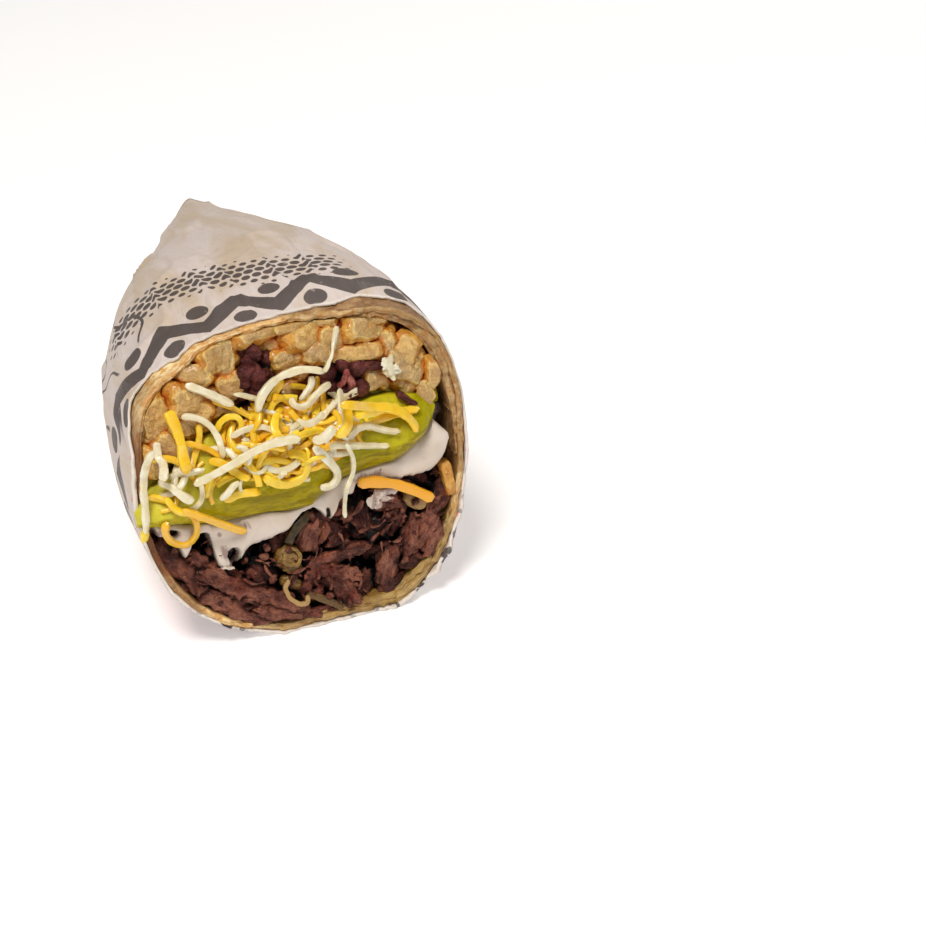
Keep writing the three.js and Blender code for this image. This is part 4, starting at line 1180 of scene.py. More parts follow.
beef = {
    "slabs": [  # across, up, length, width, turn, out, tone, pitch
        (0.7, -17.2, 7.1, 5.4, 72, -0.2, 0.85, 10), (3.2, -13.4, 5.6, 3.4, -6, -0.9, 0.35, 0),
        (8.5, -14.8, 5.5, 3.6, -2, -1.2, 0.25, 20), (8.0, -18.5, 6.5, 5.0, 5, -1.4, 0.25, -10),
        (8.6, -23.5, 12.3, 3.2, 8, 0.0, 0.6, 6), (1.3, -25.3, 5.1, 5.9, 2, 0.2, 0.9, 0),
        (7.7, -28.0, 7.2, 3.4, -24, 0.3, 0.8, 12), (7.2, -32.2, 10.6, 4.8, -62, -0.1, 0.45, 4),
        (12.5, -33.4, 8.1, 4.8, 56, -0.9, 0.4, 0), (-11.6, -29.6, 14.2, 3.6, -24, 0.3, 0.75, 0),
        (-8.6, -33.8, 13.6, 3.7, -17, 0.1, 0.65, 0), (-11.4, -23.5, 7.4, 6.0, -25, -0.7, 0.35, 0),
        (17.9, -19.7, 7.2, 6.3, 23, -0.3, 0.3, 0), (14.0, -14.7, 8.4, 5.4, -76, -1.2, 0.15, 8),
        (21.0, -13.6, 8.2, 6.1, -27, 0.3, 0.6, 0), (26.3, -22.1, 7.8, 4.1, 74, 0.2, 0.8, 0),
        (24.9, -26.0, 5.6, 3.8, 2, 0.0, 0.75, 10), (30.0, -22.5, 7.6, 3.9, 50, 0.1, 0.85, -8),
        (31.6, -25.6, 7.8, 4.1, 48, -0.2, 0.8, 0), (32.6, -18.2, 8.8, 4.1, 44, 0.2, 0.7, 0),
        (19.0, -29.1, 9.4, 5.0, 76, -0.1, 0.7, 6), (26.2, -29.8, 7.2, 4.0, 3, -1.0, 0.15, 0),
        (-33.8, -13.0, 6.6, 3.8, -62, -0.6, 0.3, 0), (-30.4, -18.6, 12.6, 4.2, -52, -0.3, 0.5, 0),
        (-25.6, -18.6, 9.2, 5.0, -50, -0.4, 0.55, 0), (-21.2, -23.0, 12.2, 4.4, -38, 0.4, 0.75, 0),
        (-15.9, -26.6, 12.0, 4.2, -28, 0.4, 0.8, 0), (-23.9, -27.4, 8.6, 4.4, -40, -0.2, 0.7, 0),
        (-17.9, -31.4, 8.6, 5.0, -28, -0.1, 0.6, 0), (-14.9, -34.2, 8.0, 3.4, -20, -0.6, 0.5, 0),
        (35.0, -13.6, 6.0, 3.6, 60, -0.8, 0.3, 0), (-27.6, -24.4, 8.0, 3.2, -48, -0.9, 0.4, 0),
        (15.6, -24.2, 6.0, 2.6, 78, -1.6, 0.3, 30), (22.4, -18.4, 5.2, 3.4, -20, -0.7, 0.25, 20),
        (-2.6, -36.2, 8.0, 3.0, -8, -0.6, 0.5, 0), (3.0, -36.6, 7.0, 2.8, 10, -0.9, 0.35, 0),
        (-1.6, -29.4, 5.0, 3.0, 30, -1.2, 0.3, 0), (19.6, -34.0, 7.6, 3.0, 24, -1.0, 0.3, 0),
        (-6.6, -20.2, 5.0, 3.2, 60, -1.4, 0.3, 0), (12.8, -19.2, 4.2, 2.8, -60, -2.2, 0.2, 30),
    ],
    "grooves": 0.45, "torn": 0.95, "mesh": (46, 42), "seed": 8,
    # the small pieces are strewn within these spans across and up
    "scraps": 150, "scrapSize": (1.4, 4.2), "scrapMesh": (20, 18), "scrapArea": ((-36, 36), (-38, -8)),
    "crumbs": 170, "crumbMesh": (12, 10), "crumbArea": ((-35, 35), (-37, -9)),
    "wisps": 60, "wispMesh": (16, 6), "wispArea": ((-33, 33), (-35, -11)),
    # where nothing fills the gaps between the slabs: across, up, half width, half height
    "cavities": [
        (13.6, -25.5, 3.2, 6.0), (11.0, -19.0, 3.0, 2.4), (5.2, -20.8, 2.0, 2.6), (-1.5, -35.0, 5.0, 1.6),
        (22.6, -31.6, 2.4, 2.6), (21.4, -22.6, 1.8, 3.4), (-9.2, -20.6, 2.2, 2.0), (-20.8, -31.8, 2.4, 1.6),
        (-25.4, -12.8, 2.2, 2.4), (15.4, -9.4, 2.4, 2.0)],
}


def cavity(across, up):
    return max(hump(math.hypot((across - x) / w, (up - y) / h), 1.6) for x, y, w, h in beef["cavities"])


def anyTurn(draw, *limits):
    return turned(*drawn(draw, [(-limit, limit) for limit in limits]))


def beefLump(batch, draw, place, size, frameOf, tone, seed, power, mesh, rough=1.0, plum=0.0):
    bend = (draw.uniform(-0.8, 0.8), draw.uniform(-0.5, 0.3))
    tear = beef["torn"] * min(1.0, min(size) / 3.0) * rough
    points, faces, unit, local = lump(
        place, size, frameOf, power, *mesh, (0.7, 2.6), (beef["grooves"] * rough, (5.0, 0.8, 0.8)), bend,
        draw.uniform(0.62, 1.0), seed, torn=(tear, 1.5, (0, 1)))
    ends = smoothStep(np.abs(unit[:, 0]), 0.55, 1.0) * tear * latticeNoise(local, (1.6, 0.7, 0.7), seed + 2)
    side = np.maximum(np.abs(unit[:, 0]), np.abs(unit[:, 1]))
    # the outward rims, which the finish paints paler as highlight
    rim = smoothStep(side, 0.62, 0.92) * smoothStep(unit[:, 2], -0.3, 0.4)
    points = points + (frameOf[:, 0] @ faceBasis) * ends[:, None]
    batch.add(points, faces, grain=local + draw.uniform(-40, 40, 3), tone=tone, rim=rim, plum=plum)


def makeBeef(core):
    form = beef
    draw = np.random.default_rng(form["seed"])
    slabs, scraps = Batch(), Batch()
    for i, (across, up, length, width, turn, out, tone, pitch) in enumerate(form["slabs"]):
        thick = draw.uniform(3.2, 4.4)
        frameOf = turned(turn, pitch + draw.uniform(-10, 10), draw.uniform(-28, 28))
        place = (across, up, out + 0.7 + draw.uniform(-0.5, 0.7) - thick / 2)
        beefLump(slabs, draw, place, (length * 1.1, width * 1.16, thick), frameOf, tone, 500 + 7 * i,
                 draw.uniform(2.6, 4.2), form["mesh"])
    made = 0
    while made < form["scraps"]:
        across, up = drawn(draw, form["scrapArea"])
        if foodReach(across, up) < 1.2 or up > creamLine(across) - 1.0:
            continue
        sunk = cavity(across, up)
        if sunk > 0.6:
            made += 0.25
            continue
        length = draw.uniform(*form["scrapSize"]) + 1.4
        size = (length, length * draw.uniform(0.4, 0.75), length * draw.uniform(0.4, 0.7))
        out = draw.uniform(-4.0, -0.3) - 5.0 * sunk
        beefLump(scraps, draw, (across, up, out), size, anyTurn(draw, 80, 50, 60), draw.uniform(0.0, 0.8),
                 900 + int(3 * made), 2.4, form["scrapMesh"])
        made += 1
    for i in range(form["crumbs"]):
        across, up = drawn(draw, form["crumbArea"])
        if foodReach(across, up) < 1.5 or up > creamLine(across) - 1.5 or cavity(across, up) > 0.4:
            continue
        size = draw.uniform(0.7, 2.0)
        frameOf = anyTurn(draw, 90, 60, 60)
        beefLump(scraps, draw, (across, up, draw.uniform(-0.9, 0.8)), (size * 1.5, size, size * 0.8), frameOf,
                 draw.uniform(0.0, 1.0), 3000 + i, 2.3, form["crumbMesh"])
    for i in range(form["wisps"]):
        across, up = drawn(draw, form["wispArea"])
        if foodReach(across, up) < 2.5 or up > creamLine(across) - 2.0:
            continue
        frameOf = turned((-32 if across < 0 else 50) + draw.uniform(-45, 45), draw.uniform(-25, 25))
        size = (draw.uniform(2.4, 5.0), draw.uniform(0.35, 0.6), 0.4)
        beefLump(scraps, draw, (across, up, draw.uniform(0.2, 1.3)), size, frameOf, draw.uniform(0.6, 1.6),
                 5000 + i, 2.2, form["wispMesh"])
    relief = Relief(np.concatenate([*slabs.points, *scraps.points, fromWorld(core)]), 1.8)
    for batch in (slabs, scraps):
        batch.shade(relief, 0.05, 1.9)
    return slabs.piece("beefSlabs", "meat"), scraps.piece("beefBits", "meat")


def makePocket():
    form = pocket
    draw = np.random.default_rng(form["seed"])
    batch = Batch()
    for i in range(form["chunks"]):
        x, y, w, h = form["columns"][i % 2]
        turn, reach = draw.uniform(0, 2 * np.pi), math.sqrt(draw.uniform(0, 1))
        across, up = x + w * reach * math.cos(turn), y + h * reach * math.sin(turn)
        if foodReach(across, up) < 2.5 or up < topLine(across) + 1.0:
            continue
        size = draw.uniform(*form["size"])
        frameOf = anyTurn(draw, 90, 60, 60)
        beefLump(batch, draw, (across, up, draw.uniform(-4.0, -0.2)), (size * 1.2, size, size * 0.9), frameOf,
                 draw.uniform(-0.1, 0.6), 1500 + 3 * i, 2.4, form["mesh"], form["rough"], 1.0)
    for across, up, out, length, width, turn, tone, plum in form["extras"]:
        beefLump(batch, draw, (across, up, out), (length, width, width * 0.8), turned(turn, 8, 20), tone,
                 1900 + int(length * 10), 3.0, form["mesh"], 1.0, plum)
    batch.shade(Relief(np.concatenate(batch.points), 1.6), 0.2, 2.6)
    return batch.piece("pocketPieces", "meat")


def meatCore(node, cutAt, seed):
    mesh = coreOf(node, cutAt, 0.9, 2.4, 3.6, seed)
    points = fromWorld(mesh)
    # the core is painted in shade, darker the further back it lies
    deep = np.clip(0.85 - (outOf(points) - cutAt) / 6.0, 0.6, 0.97)
    return valued(mesh, grain=points, deep=deep, tone=0.1, rim=0.0, plum=0.3)


beefCore = meatCore("meat", -7.6, 11)
beefSlabs, beefBits = makeBeef(beefCore)
dress(beefSlabs, "beef", "meat")
dress(joined("beefFilling", [beefBits, beefCore], "meat"), "beef", "meat")
pocketPieces = [makePocket(), meatCore("meat_pocket", -5.0, 12)]
dress(joined("beefPocket", pocketPieces, "meat"), "beef", "meat_pocket")
print("beef made")


guacamoleLip = {
    "reach": 5.0, "crest": 0.70, "root": 0.9, "from": -39.8, "to": 35.6, "hang": 0.7,
    "least": 0.45, "over": 12.0, "stations": 230, "rows": 64, "lumps": 0.5, "seed": 61,
}
creamFront = {
    "from": -37.4, "to": 37.6, "stations": 240, "rows": 56, "out": 1.5, "root": -3.0, "seed": 71,
    # across, up, half width, half height, depth
    "wells": [(-18.2, -17.5, 1.5, 1.9, 5.5), (-31.8, -8.7, 1.5, 0.9, 3.0), (5.9, -12.6, 0.5, 1.6, 1.4)],
    # across, up, out, length, width, turn, smear
    "wipes": [
        (18.6, -10.6, 1.9, 5.4, 2.4, 8, 0.8), (21.4, -9.9, 1.8, 4.4, 2.0, -6, 0.7),
        (17.2, -12.0, 2.2, 3.2, 1.8, -36, 0.9), (20.4, -11.6, 2.3, 3.0, 1.0, 0, 1.0),
        (-20.4, -19.7, 1.3, 3.4, 1.0, -8, 0.3)],
    # across, up, half width, half height
    "smears": [
        (16.5, -5.4, 8.5, 2.6), (-15.2, -10.4, 3.4, 2.6), (-20.4, -15.8, 2.8, 3.4), (-35.4, -8.0, 2.4, 2.0),
        (-28.6, -11.5, 2.4, 3.0), (-21.0, -11.4, 1.6, 1.4)],
}
backShare = np.linspace(1, 0, 8)[None, :]


def slab(name, front, back, finish, **values):
    # a closed layer from its modelled front and its plain back; the values hold for the front alone
    points, faces = loft(np.concatenate([front, back], 1))
    rest = np.zeros(back.shape[:2])
    for key, value in values.items():
        values[key] = np.append(np.concatenate([value, rest], 1).ravel(), [0, 0])
    return makePiece(name, points, faces, finish, values)


def lipOut(share, reach):
    # how far the slab stands out: it swells to a crest and then hangs over
    form = guacamoleLip
    rising = np.sin(np.pi / 2 * np.clip(share / form["crest"], 0, 1))
    falling = np.cos(np.pi / 2 * np.clip((share - form["crest"]) / (1 - form["crest"]), 0, 1)) ** form["hang"]
    return form["root"] + (reach - form["root"]) * np.where(share < form["crest"], rising, falling)


def lipReach(across):
    # how far its crest stands out, less towards its ends
    form = guacamoleLip
    near = np.minimum(across - form["from"], form["to"] - across)
    ease = np.minimum(1, form["least"] + np.maximum(near, 0) / form["over"])
    return form["root"] + (form["reach"] - form["root"]) * ease


def makeLip():
    form = guacamoleLip
    across = np.linspace(form["from"], form["to"], form["stations"])[:, None]
    share = np.linspace(0, 1, form["rows"])[None, :]
    spot = facePoint(across[:, 0], 0.0, 0.0)
    wobble = 0.5 * latticeNoise(spot, 8.0, 4)[:, None]
    drip = 0.45 * latticeNoise(spot, 5.0, 8)[:, None] * share
    low, high = footLine(across) + 0.15, topLine(across) - 0.15
    up = high + (low - high) * share + drip * 0.6
    front = facePoint(across, up, lipOut(share, lipReach(across)))
    rough = form["lumps"] * roughNoise(front, 6.5, form["seed"], 4)
    near = np.minimum(across - form["from"], form["to"] - across)
    calm = smoothStep(share, 0.0, 0.12) * smoothStep(1 - share, 0.0, 0.06)
    groove = 0.14 * latticeNoise(front, (9.0, 1.6, 1.1), 66) * smoothStep(share, 0.68, 0.8)
    front += outAxis * ((rough + wobble * 0.5 + groove) * smoothStep(near, 0.0, 7.0) * calm)[..., None]
    # both ends are rounded back, the left one less
    rounded = np.where(across < 0, 0.6, 2.2) * (1 - smoothStep(near, -0.5, 5.0)) * np.ones_like(share)
    front -= outAxis * rounded[..., None]
    thin = smoothStep(across - form["from"], 2.0, 5.0) * smoothStep(form["to"] - across, 0.0, 2.0)
    back = facePoint(across, high + (low - high) * backShare, (-0.2 - 4.8 * thin) * np.ones_like(backShare))
    # marks the face under the crest, which the finish paints darker, partly as shade
    under = smoothStep(share, form["crest"] - 0.02, form["crest"] + 0.06) * np.ones_like(across)
    return slab("lipFront", front, back, "guacamole", under=under)


guacamoleCore = valued(coreOf("guacamole", -3.4, 1.0, 0.5, 5.0, 21, 5.0), under=0.0)
dress(joined("guacamoleLayer", [makeLip(), guacamoleCore], "guacamole"), "guacamole", "guacamole")


def makeCreamFront():
    form = creamFront
    across = np.linspace(form["from"], form["to"], form["stations"])[:, None]
    share = np.linspace(0, 1, form["rows"])[None, :]
    low = creamLine(across)
    high = np.minimum(footLine(across) + 0.6, 4.6 - 1.3 * np.maximum(across - 35.0, 0))
    spot = facePoint(across[:, 0], 0.0, 0.0)
    jag = (0.3 * latticeNoise(spot, 2.6, 5) + 0.5 * roughNoise(spot, 1.1, 15, 2))[:, None] * share ** 2
    up = high + (low - high) * share + jag
    rounded = np.sqrt(np.clip(1 - (2 * share - 1) ** 6, 0, 1))
    front = facePoint(across, up, form["root"] + (form["out"] - form["root"]) * rounded)
    swell = 0.9 * latticeNoise(front, 8.0, form["seed"]) + 0.35 * latticeNoise(front, 3.2, form["seed"] + 1)
    front += outAxis * (swell * rounded)[..., None]
    hole = np.zeros(front.shape[:2])
    ragged = 0.35 * roughNoise(front, 1.5, form["seed"] + 2, 3)
    for x, y, wide, tall, deep in form["wells"]:
        near = np.hypot((across - x) / wide, (up - y) / tall) + ragged
        front -= outAxis * (deep * (1 - smoothStep(near, 0.75, 1.3)))[..., None]
        hole = np.maximum(hole, 1 - smoothStep(near, 0.75, 1.15))
    # keep clear of the tortilla
    front -= outAxis * (4.0 * (1 - smoothStep(foodReach(across, up), -0.2, 0.8)))[..., None]
    back = facePoint(across, high + (low - high) * backShare, form["root"] - 3.0 * np.ones_like(backShare))
    smear = smoothStep(share, 0.82, 1.05) * 0.75 * np.ones_like(across)
    for x, y, wide, tall in form["smears"]:
        smear = np.maximum(smear, hump(np.hypot((across - x) / wide, (up - y) / tall), 1.0))
    return slab("creamFrontSkin", front, back, "cream", smear=smear, hole=hole)


def makeWipes():
    batch = Batch()
    for across, up, out, length, width, turn, smear in creamFront["wipes"]:
        points, faces, _, _ = lump((across, up, out), (length, width, 0.9), turned(turn, 0, -8), 2.4, 30, 30,
                                   (0.5, 1.8), seed=int(length * 10), torn=(0.9, 1.6, (0, 1)))
        batch.add(points, faces, smear=smear, hole=0.0)
    return batch.piece("creamWipes", "cream")


# the core behind the front is painted dark through its hole mark: meat colour and, mostly, painted shade
creamCore = valued(coreOf("sour_cream", -4.0, 1.0, 0.6, 4.0, 22), smear=0.3, hole=0.6)
creamParts = [makeCreamFront(), makeWipes(), creamCore]
dress(joined("sourCreamLayer", creamParts, "cream"), "sour_cream", "sour_cream")
print("guacamole and cream made")


strands = {
    # across, up, heading, length, turn of the first half, of the second, width, thickness
    "white": [
        (-25.2, 27.0, -30, 12.8, -5, 0, 2.2, 1.5), (-14.1, 22.3, -15, 6.7, -10, -10, 1.5, 1.1),
        (-27.2, 19.7, 0, 16.3, -60, -35, 1.7, 1.3), (-16.3, 12.5, 25, 13.0, -30, -65, 1.8, 1.4),
        (4.7, 22.6, -85, 6.4, -50, 0, 1.9, 1.3), (9.0, 20.0, -160, 12.6, 25, -135, 2.0, 1.5),
        (3.2, 5.8, -50, 15.1, -10, -160, 2.4, 1.4), (12.0, 5.6, 65, 14.0, -95, 15, 1.9, 1.4),
        (7.2, 5.2, -10, 14.4, -5, 5, 1.9, 1.4), (15.8, 17.4, -165, 11.6, 10, 25, 2.2, 1.6),
        (-34.6, 5.6, -15, 10.1, -35, 15, 2.3, 1.6), (-33.6, 15.2, -115, 9.7, 60, -60, 2.4, 1.5),
        (-34.0, 13.0, -140, 19.6, 48, -6, 2.1, 1.3), (11.2, 4.6, -62, 18.4, -62, 34, 1.3, 1.0),
        (7.9, 22.9, 150, 21.1, 45, 65, 2.2, 1.6), (12.3, 33.2, -110, 11.2, 5, -25, 1.9, 1.3),
        (-25.7, 3.2, 15, 27.0, 5, -30, 2.3, 1.7), (3.4, 7.4, -20, 6.5, 40, 60, 2.6, 1.9),
        (-20.5, -1.6, 28, 6.0, 10, -10, 1.7, 1.2), (-29.0, 8.0, -50, 6.5, 40, 20, 2.2, 1.4),
        (-13.0, 5.0, 50, 6.5, 60, 80, 1.6, 1.2), (0.5, 13.0, -60, 7.5, 70, 40, 1.7, 1.3),
        (11.6, 18.0, -98, 5.4, 0, 6, 2.5, 1.4),
    ],
    "yellow": [
        (-19.6, 21.9, -25, 16.8, -15, 25, 1.5, 1.1), (-23.6, 17.3, -90, 12.7, -25, 20, 1.7, 1.2),
        (-27.3, 13.5, -15, 10.0, -20, -15, 1.7, 1.2), (-19.5, 14.5, 80, 11.4, -90, -145, 1.7, 1.3),
        (-2.6, 23.7, -125, 6.2, -5, -5, 2.3, 1.4), (4.3, 16.2, 75, 6.4, 0, 0, 2.2, 1.4),
        (16.9, 8.4, 10, 13.0, -5, -5, 2.3, 1.3), (-29.1, -2.6, -30, 19.0, -135, -150, 1.9, 1.4),
        (-37.8, 3.0, -15, 5.9, -10, -15, 2.0, 1.3), (-19.8, -2.1, 20, 8.9, -20, -20, 2.3, 1.4),
        (-9.8, 1.8, -55, 19.6, 75, 175, 2.4, 1.5), (-4.2, 15.7, -130, 11.8, 70, 130, 2.3, 1.5),
        (12.2, 14.6, -80, 9.3, -15, -90, 2.9, 1.6), (-29.6, -2.0, -30, 15.8, -5, 5, 2.1, 1.4),
        (11.4, 14.0, -15, 21.1, 0, -60, 2.6, 1.5), (-30.0, 21.7, -70, 15.7, -10, -5, 3.0, 1.5),
        (-1.0, 8.8, 20, 12.0, -30, -40, 2.0, 1.4), (-33.0, 2.0, -80, 9.0, 40, 60, 1.8, 1.3),
        (-22.0, 8.0, -10, 11.0, -40, 20, 2.1, 1.4), (-12.0, 9.6, -30, 9.0, 30, -50, 2.2, 1.4),
        (14.0, 10.8, -5, 11.0, 12, -16, 2.1, 1.3), (-24.0, -0.4, 60, 7.0, 10, -30, 2.0, 1.3),
        (-39.3, -4.4, -104, 3.0, 0, 0, 2.3, 1.4),
    ],
    "flakes": [(25.0, 20.4, 2.4, 4.6, 3.0, -78), (24.4, 18.8, 2.3, 2.8, 2.2, -20),
               (25.8, 19.4, 2.5, 2.2, 1.8, 30), (6.9, 4.8, 6.6, 3.4, 2.6, 30)],
    # which rows are laid after which
    "order": [("yellow", 0, 11), ("white", 0, 10), ("yellow", 16, 23), ("yellow", 11, 14), ("white", 10, 14),
              ("white", 17, 23), ("yellow", 14, 16), ("white", 14, 17)],
    # a strand that lies higher than the level is shifted, so that from the front left it stays in its place
    "level": 5.5, "shift": (-0.372, 0.340), "sinking": 0.45, "step": 0.55, "seed": 33,
}
loneShred = {"route": [(13.5, -6.2), (18, -6.8), (22.5, -8.4), (27, -11), (31.5, -14.2)], "out": (2.6,),
             "width": 2.5, "thick": 1.4, "tone": 0.85, "tilt": 8}
heap = {
    "middle": {"across": -1.0, "up": 8.0, "halfWidth": 17.0, "halfHeight": 8.4, "thick": 2.4,
               "shreds": {"white": (60000, 3), "yellow": (130000, 9)}},
    "left": {"across": -24.0, "up": 3.5, "halfWidth": 12.0, "halfHeight": 5.5, "thick": 0.6,
             "shreds": {"white": (34000, 5), "yellow": (30000, 12)}},
    "stations": 90, "rows": 36, "length": 8.6, "width": 1.5, "shredThick": 0.95,
}

gridStep = 0.5
gridAcross = np.arange(-46, 46, gridStep)
gridUp = np.arange(-32, 46, gridStep)
softKernel = np.hanning(9) / np.hanning(9).sum()


def restingOut(across, up):
    # how far the food under the cheese stands out
    low, high = footLine(across), topLine(across)
    share = np.clip((high - up) / (high - low), 0, 1)
    inside = (across > guacamoleLip["from"]) & (across < guacamoleLip["to"])
    onLip = inside & (up > low - 0.3) & (up < high + 0.3)
    return np.where(onLip, lipOut(share, lipReach(across)), 1.1)


def heapThick(across, up):
    total = 0.0
    for form in (heap["middle"], heap["left"]):
        x, y = (across - form["across"]) / form["halfWidth"], (up - form["up"]) / form["halfHeight"]
        total = total + form["thick"] * np.sqrt(np.clip(1 - x * x - y * y, 0, 1))
    return total


gridPlaces = gridAcross[:, None], gridUp[None, :]
surfaceGrid = restingOut(*gridPlaces) + heapThick(*gridPlaces)


def evened(line):
    return np.convolve(np.pad(line, 4, mode="edge"), softKernel, mode="valid")


def settle(across, up, width, thick):
    # lays a strand on what is already there and adds it to the surface
    span = int(math.ceil(max(width / 2, 0.6) / gridStep))
    rows = np.clip(np.rint((across - gridAcross[0]) / gridStep).astype(int), 2, len(gridAcross) - 3)
    columns = np.clip(np.rint((up - gridUp[0]) / gridStep).astype(int), 2, len(gridUp) - 3)
    blocks = [surfaceGrid[r - span:r + span + 1, c - span:c + span + 1] for r, c in zip(rows, columns)]
    under = np.array([block.max() for block in blocks])
    padded = np.pad(under, 4, mode="edge")
    wide = np.array([padded[i:i + 9].max() for i in range(len(under))])
    laid = evened(evened(wide) * (1 - strands["sinking"]) + under * strands["sinking"]) + thick * 0.42
    for block, height in zip(blocks, laid):
        np.maximum(block, height + thick * 0.3, out=block)
    return laid


def strandPath(row):
    across, up, heading, length, first, second = row[:6]
    count = int(length / strands["step"]) + 2
    share = np.linspace(0, 1, count)
    angle = np.radians(heading + first * np.minimum(1, 2 * share) + second * np.maximum(0, 2 * share - 1))
    step = length / (count - 1)
    x = across + np.concatenate([[0], np.cumsum((np.cos(angle)[1:] + np.cos(angle)[:-1]) / 2 * step)])
    y = up + np.concatenate([[0], np.cumsum((np.sin(angle)[1:] + np.sin(angle)[:-1]) / 2 * step)])
    return x, y


def newTree(name, sizes):
    # an empty tree whose inputs are a shape, named sizes and a material
    tree = bpy.data.node_groups.new(name, "GeometryNodeTree")
    tree.interface.new_socket("Geometry", in_out="INPUT", socket_type="NodeSocketGeometry")
    for key, kind, value in sizes:
        socket = tree.interface.new_socket(key, in_out="INPUT", socket_type="NodeSocket" + kind)
        socket.default_value = value
    tree.interface.new_socket("Material", in_out="INPUT", socket_type="NodeSocketMaterial")
    tree.interface.new_socket("Geometry", in_out="OUTPUT", socket_type="NodeSocketGeometry")
    graph = Graph(tree)
    return graph, graph.node("NodeGroupInput")


def endTree(graph, given, shape):
    mesh = graph.node("GeometryNodeRealizeInstances", None, {"Geometry": shape})
    mesh = graph.node("GeometryNodeSetMaterial", None, {"Geometry": mesh, "Material": given.also("Material")})
    graph.node("NodeGroupOutput", None, {"Geometry": mesh})
    return graph.tree


def shredProfile(graph, given, count, radius):
    # the shred's section, a rectangle with rounded corners
    profile = graph.node("GeometryNodeCurvePrimitiveQuadrilateral", {"mode": "RECTANGLE"},
                         {"Width": given.also("Thickness"), "Height": given.also("Width")})
    return graph.node("GeometryNodeFilletCurve", {"mode": "POLY"},
                      {"Curve": profile, "Count": count, "Radius": radius, "Limit Radius": True})


def strandTree():
    # sweeps the section along a line
    graph, given = newTree("shredSweep", (
        ("Width", "Float", 0.002), ("Thickness", "Float", 0.0015), ("Corner", "Float", 0.0005),
        ("Outwards", "Vector", outAxis.tolist())))

    def named(name):
        return graph.node("GeometryNodeInputNamedAttribute", {"data_type": "FLOAT"}, {"Name": name})

    curve = graph.node("GeometryNodeMeshToCurve", None, {"Mesh": given})
    curve = graph.node("GeometryNodeSetCurveNormal", {"mode": "FREE"},
                       {"Curve": curve, "Normal": given.also("Outwards")})
    curve = graph.node("GeometryNodeSetCurveTilt", None, {"Curve": curve, "Tilt": named("tilt")})
    profile = shredProfile(graph, given, 2, given.also("Corner"))
    mesh = graph.node("GeometryNodeCurveToMesh", None,
                      {"Curve": curve, "Profile Curve": profile, "Scale": named("girth"), "Fill Caps": True})
    return endTree(graph, given, mesh)


sweepTree = strandTree()


def nodesResult(made, tree, inputs):
    # runs a tree on an object and gives back a plain mesh
    modifier = made.modifiers.new("nodes", "NODES")
    modifier.node_group = tree
    sockets = {item.name: item.identifier for item in tree.interface.items_tree if item.in_out == "INPUT"}
    for name, value in inputs.items():
        modifier[sockets[name]] = value
    return applied(made)


def sweepStrand(name, points, width, thick, tilt, girth, tone, finish):
    line = bpy.data.meshes.new(name)
    line.from_pydata(toWorld(points).tolist(), [(i, i + 1) for i in range(len(points) - 1)], [])
    valued(line, tilt=tilt, girth=girth, tone=tone)
    return nodesResult(link(name, line), sweepTree, {
        "Width": width / 1000, "Thickness": thick / 1000, "Corner": min(width, thick) * 0.15 / 1000,
        "Outwards": outAxis.tolist(), "Material": finishes[finish]})


def roughened(mesh, amount, cell, seed):
    points = fromWorld(mesh)
    normals = np.zeros(len(mesh.vertices) * 3)
    mesh.vertices.foreach_get("normal", normals)
    shift = amount * roughNoise(points, cell, seed, 2)
    points += normals.reshape(-1, 3) * shift[:, None]
    mesh.vertices.foreach_set("co", toWorld(points).ravel())
    return mesh


def makeStrands():
    draw = np.random.default_rng(strands["seed"])
    made = {"white": [], "yellow": []}
    order = [(kind, i) for kind, first, last in strands["order"] for i in range(first, last)]
    for number, (kind, i) in enumerate(order):
        row = strands[kind][i]
        length, width, thick = row[3], row[6], row[7]
        across, up = strandPath(row)
        laid = settle(across, up, width, thick)
        share = np.linspace(0, 1, len(across))
        lifted = laid - strands["level"]
        points = facePoint(across + lifted * strands["shift"][0], up + lifted * strands["shift"][1], laid)
        tilt = np.radians(draw.uniform(-30, 30) + draw.uniform(-80, 80) * share)
        wave = 1 + 0.2 * roughNoise(points, 3.0, number + 3, 2)
        worn = 1.6 * draw.uniform(0.35, 0.8, 2)
        ends = smoothStep(share * length, -0.9, worn[0]) * smoothStep((1 - share) * length, -0.9, worn[1])
        tone = draw.uniform(0.0, 0.4) if kind == "white" else draw.choice([0.0, 0.1, 0.2, 0.5])
        mesh = sweepStrand(f"{kind}{number}", points, width * 0.8, thick * 0.8, tilt, wave * ends, tone, kind)
        made[kind].append(roughened(mesh, 0.14, 1.2, number))
    return made


def makeFlakes():
    batch = Batch()
    for across, up, out, length, width, turn in strands["flakes"]:
        points, faces, _, _ = lump(
            (across, up, out), (length, width, min(width, 0.9)), turned(turn, 12, -20), 3.0, 36, 30,
            (0.15 * width, 1.6), seed=int(10 * length), torn=(0.65 * width, 1.1, (0, 1)))
        batch.add(points, faces, tone=0.05)
    return batch.piece("flakes", "white")


